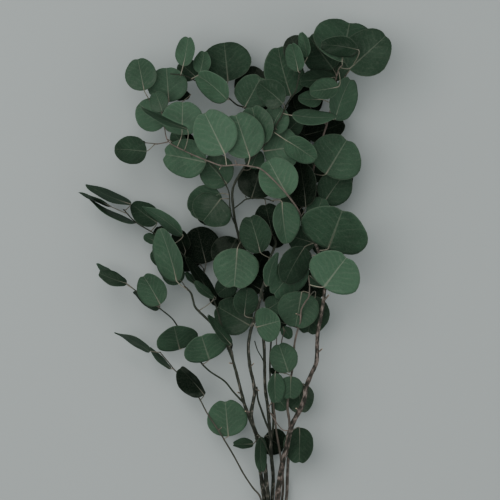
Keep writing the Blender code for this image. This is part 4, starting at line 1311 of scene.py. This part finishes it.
class BUNCH_OT_stems(bpy.types.Operator):
    """Make the stems and side twigs with their bark, knuckles, stubs and cut ends"""

    bl_idname = "bunch.stems"
    bl_label = "Stems and twigs"

    def execute(self, context):
        look = context.scene.bunch_look
        if "mottle" not in bpy.data.node_groups:
            raise RuntimeError("make the leaves first: the bark shares their mottle")
        bark = material_named("twig bark", bark_material, look)
        wood = material_named("cut wood", cut_wood_material, look)
        for name in NODES:
            solid = Solid()
            for number, twig in enumerate(TWIGS):
                if twig.node == name:
                    self.add_twig(solid, twig, number, look)
            for owner, place, way, length, girth in STUBS:
                if owner == name:
                    self.add_stub(solid, Vector(place), unit(Vector(way)), length, girth)
            for blade, (start, _, _) in zip(BLADES, BENDS):
                if blade.node == name:
                    radius = girth_at(start, name) / 2.0
                    # Knuckles take the leaf's tone and shade value, so those at leaves painted as shaded are
                    # darker green
                    add_knuckle(solid, start, radius * look.knuckle_size, blade.tone)
            solid.finish(name + "_wood", [bark, wood], name)
        return {"FINISHED"}

    def add_twig(self, solid, twig, number, look):
        ends = len(twig.route) - 1
        taper = (twig.girth[1] - twig.girth[0]) / ends
        radii = [(twig.girth[0] + taper * step) / 2.0 for step in range(ends + 1)]
        path = smooth_route([Vector(point) for point in twig.route], radii, ROUTE_STEPS)
        thick = twig.girth[0] > THICK_TWIG
        tone = STEM_TONES.get(twig.node, GREEN_STEM)
        sides = look.bark_sides if thick else THIN_TWIG_SIDES
        knots = THICK_KNOTS if thick else THIN_KNOTS
        cut = CUT_SLANT if twig.route[0][1] < CUT_ENDS_BELOW else 0.0
        solid.tube(path, sides, tone, number * TWIG_PATCH_STEP % 1.0, knots, FIRST_TWIG_SEED + number, cut)

    def add_stub(self, solid, place, way, length, girth):
        path = [(place + way * (length * along), girth * width) for along, width in STUB_SHAPE]
        solid.tube(path, THIN_TWIG_SIDES, STUB_TONE, STUB_PATCH, STUB_KNOTS, int(length * 7), STUB_SLANT)


class BUNCH_OT_stage(bpy.types.Operator):
    """Make the floor, the soft lights and the camera"""

    bl_idname = "bunch.stage"
    bl_label = "Stage"

    def execute(self, context):
        look = context.scene.bunch_look
        scene = context.scene
        shape = bmesh.new()
        bmesh.ops.create_grid(shape, x_segments=8, y_segments=8, size=FLOOR_HALF)
        mesh = bpy.data.meshes.new("floor")
        shape.to_mesh(mesh)
        shape.free()
        mesh.materials.append(material_named("pale floor", floor_material, look))
        floor = bpy.data.objects.new("floor", mesh)
        floor.location.z = -FLOOR_DROP
        scene.collection.objects.link(floor)
        for light in LIGHTS:
            self.add_light(*light)
        world = bpy.data.worlds.new("studio")
        world.use_nodes = True
        backdrop = world.node_tree.nodes["Background"]
        backdrop.inputs["Color"].default_value = ROOM_COLOUR
        backdrop.inputs["Strength"].default_value = ROOM_STRENGTH
        scene.world = world
        data = bpy.data.cameras.new("camera")
        camera = bpy.data.objects.new("camera", data)
        scene.collection.objects.link(camera)
        middle = (Vector(PHOTO_MIDDLE) + SHIFT) * METRES
        camera.location = (middle.x, middle.y, look.camera_height)
        data.sensor_width = SENSOR_WIDTH
        data.lens = data.sensor_width * (look.camera_height - middle.z) / look.view_width
        data.clip_end = VIEW_END
        scene.camera = camera
        return {"FINISHED"}

    def add_light(self, name, place, target, size, power):
        data = bpy.data.lights.new(name, "AREA")
        data.shape = "DISK"
        data.size = size
        data.energy = power
        light = bpy.data.objects.new(name, data)
        light.location = place
        light.rotation_euler = (Vector(target) - Vector(place)).to_track_quat("-Z", "Y").to_euler()
        bpy.context.scene.collection.objects.link(light)


class BUNCH_PT_panel(bpy.types.Panel):
    """Sidebar panel that lists the pieces of the bunch"""

    bl_idname = "BUNCH_PT_panel"
    bl_label = "Eucalyptus Bunch"
    bl_space_type = "VIEW_3D"
    bl_region_type = "UI"
    bl_category = "Bunch"

    def draw(self, context):
        look = context.scene.bunch_look
        for name in look.__annotations__:
            self.layout.prop(look, name)
        for operator in OPERATORS:
            self.layout.operator(operator.bl_idname)


OPERATORS = (BUNCH_OT_leaves, BUNCH_OT_stalks, BUNCH_OT_stems, BUNCH_OT_stage)
CLASSES = (BunchLook, *OPERATORS, BUNCH_PT_panel)


def register():
    for item in CLASSES:
        bpy.utils.register_class(item)
    bpy.types.Scene.bunch_look = PointerProperty(type=BunchLook)


def unregister():
    del bpy.types.Scene.bunch_look
    for item in reversed(CLASSES):
        bpy.utils.unregister_class(item)


def main():
    register()
    bpy.ops.bunch.leaves()
    bpy.ops.bunch.stalks()
    bpy.ops.bunch.stems()
    bpy.ops.bunch.stage()
    bpy.context.view_layer.update()


if __name__ == "__main__":
    main()
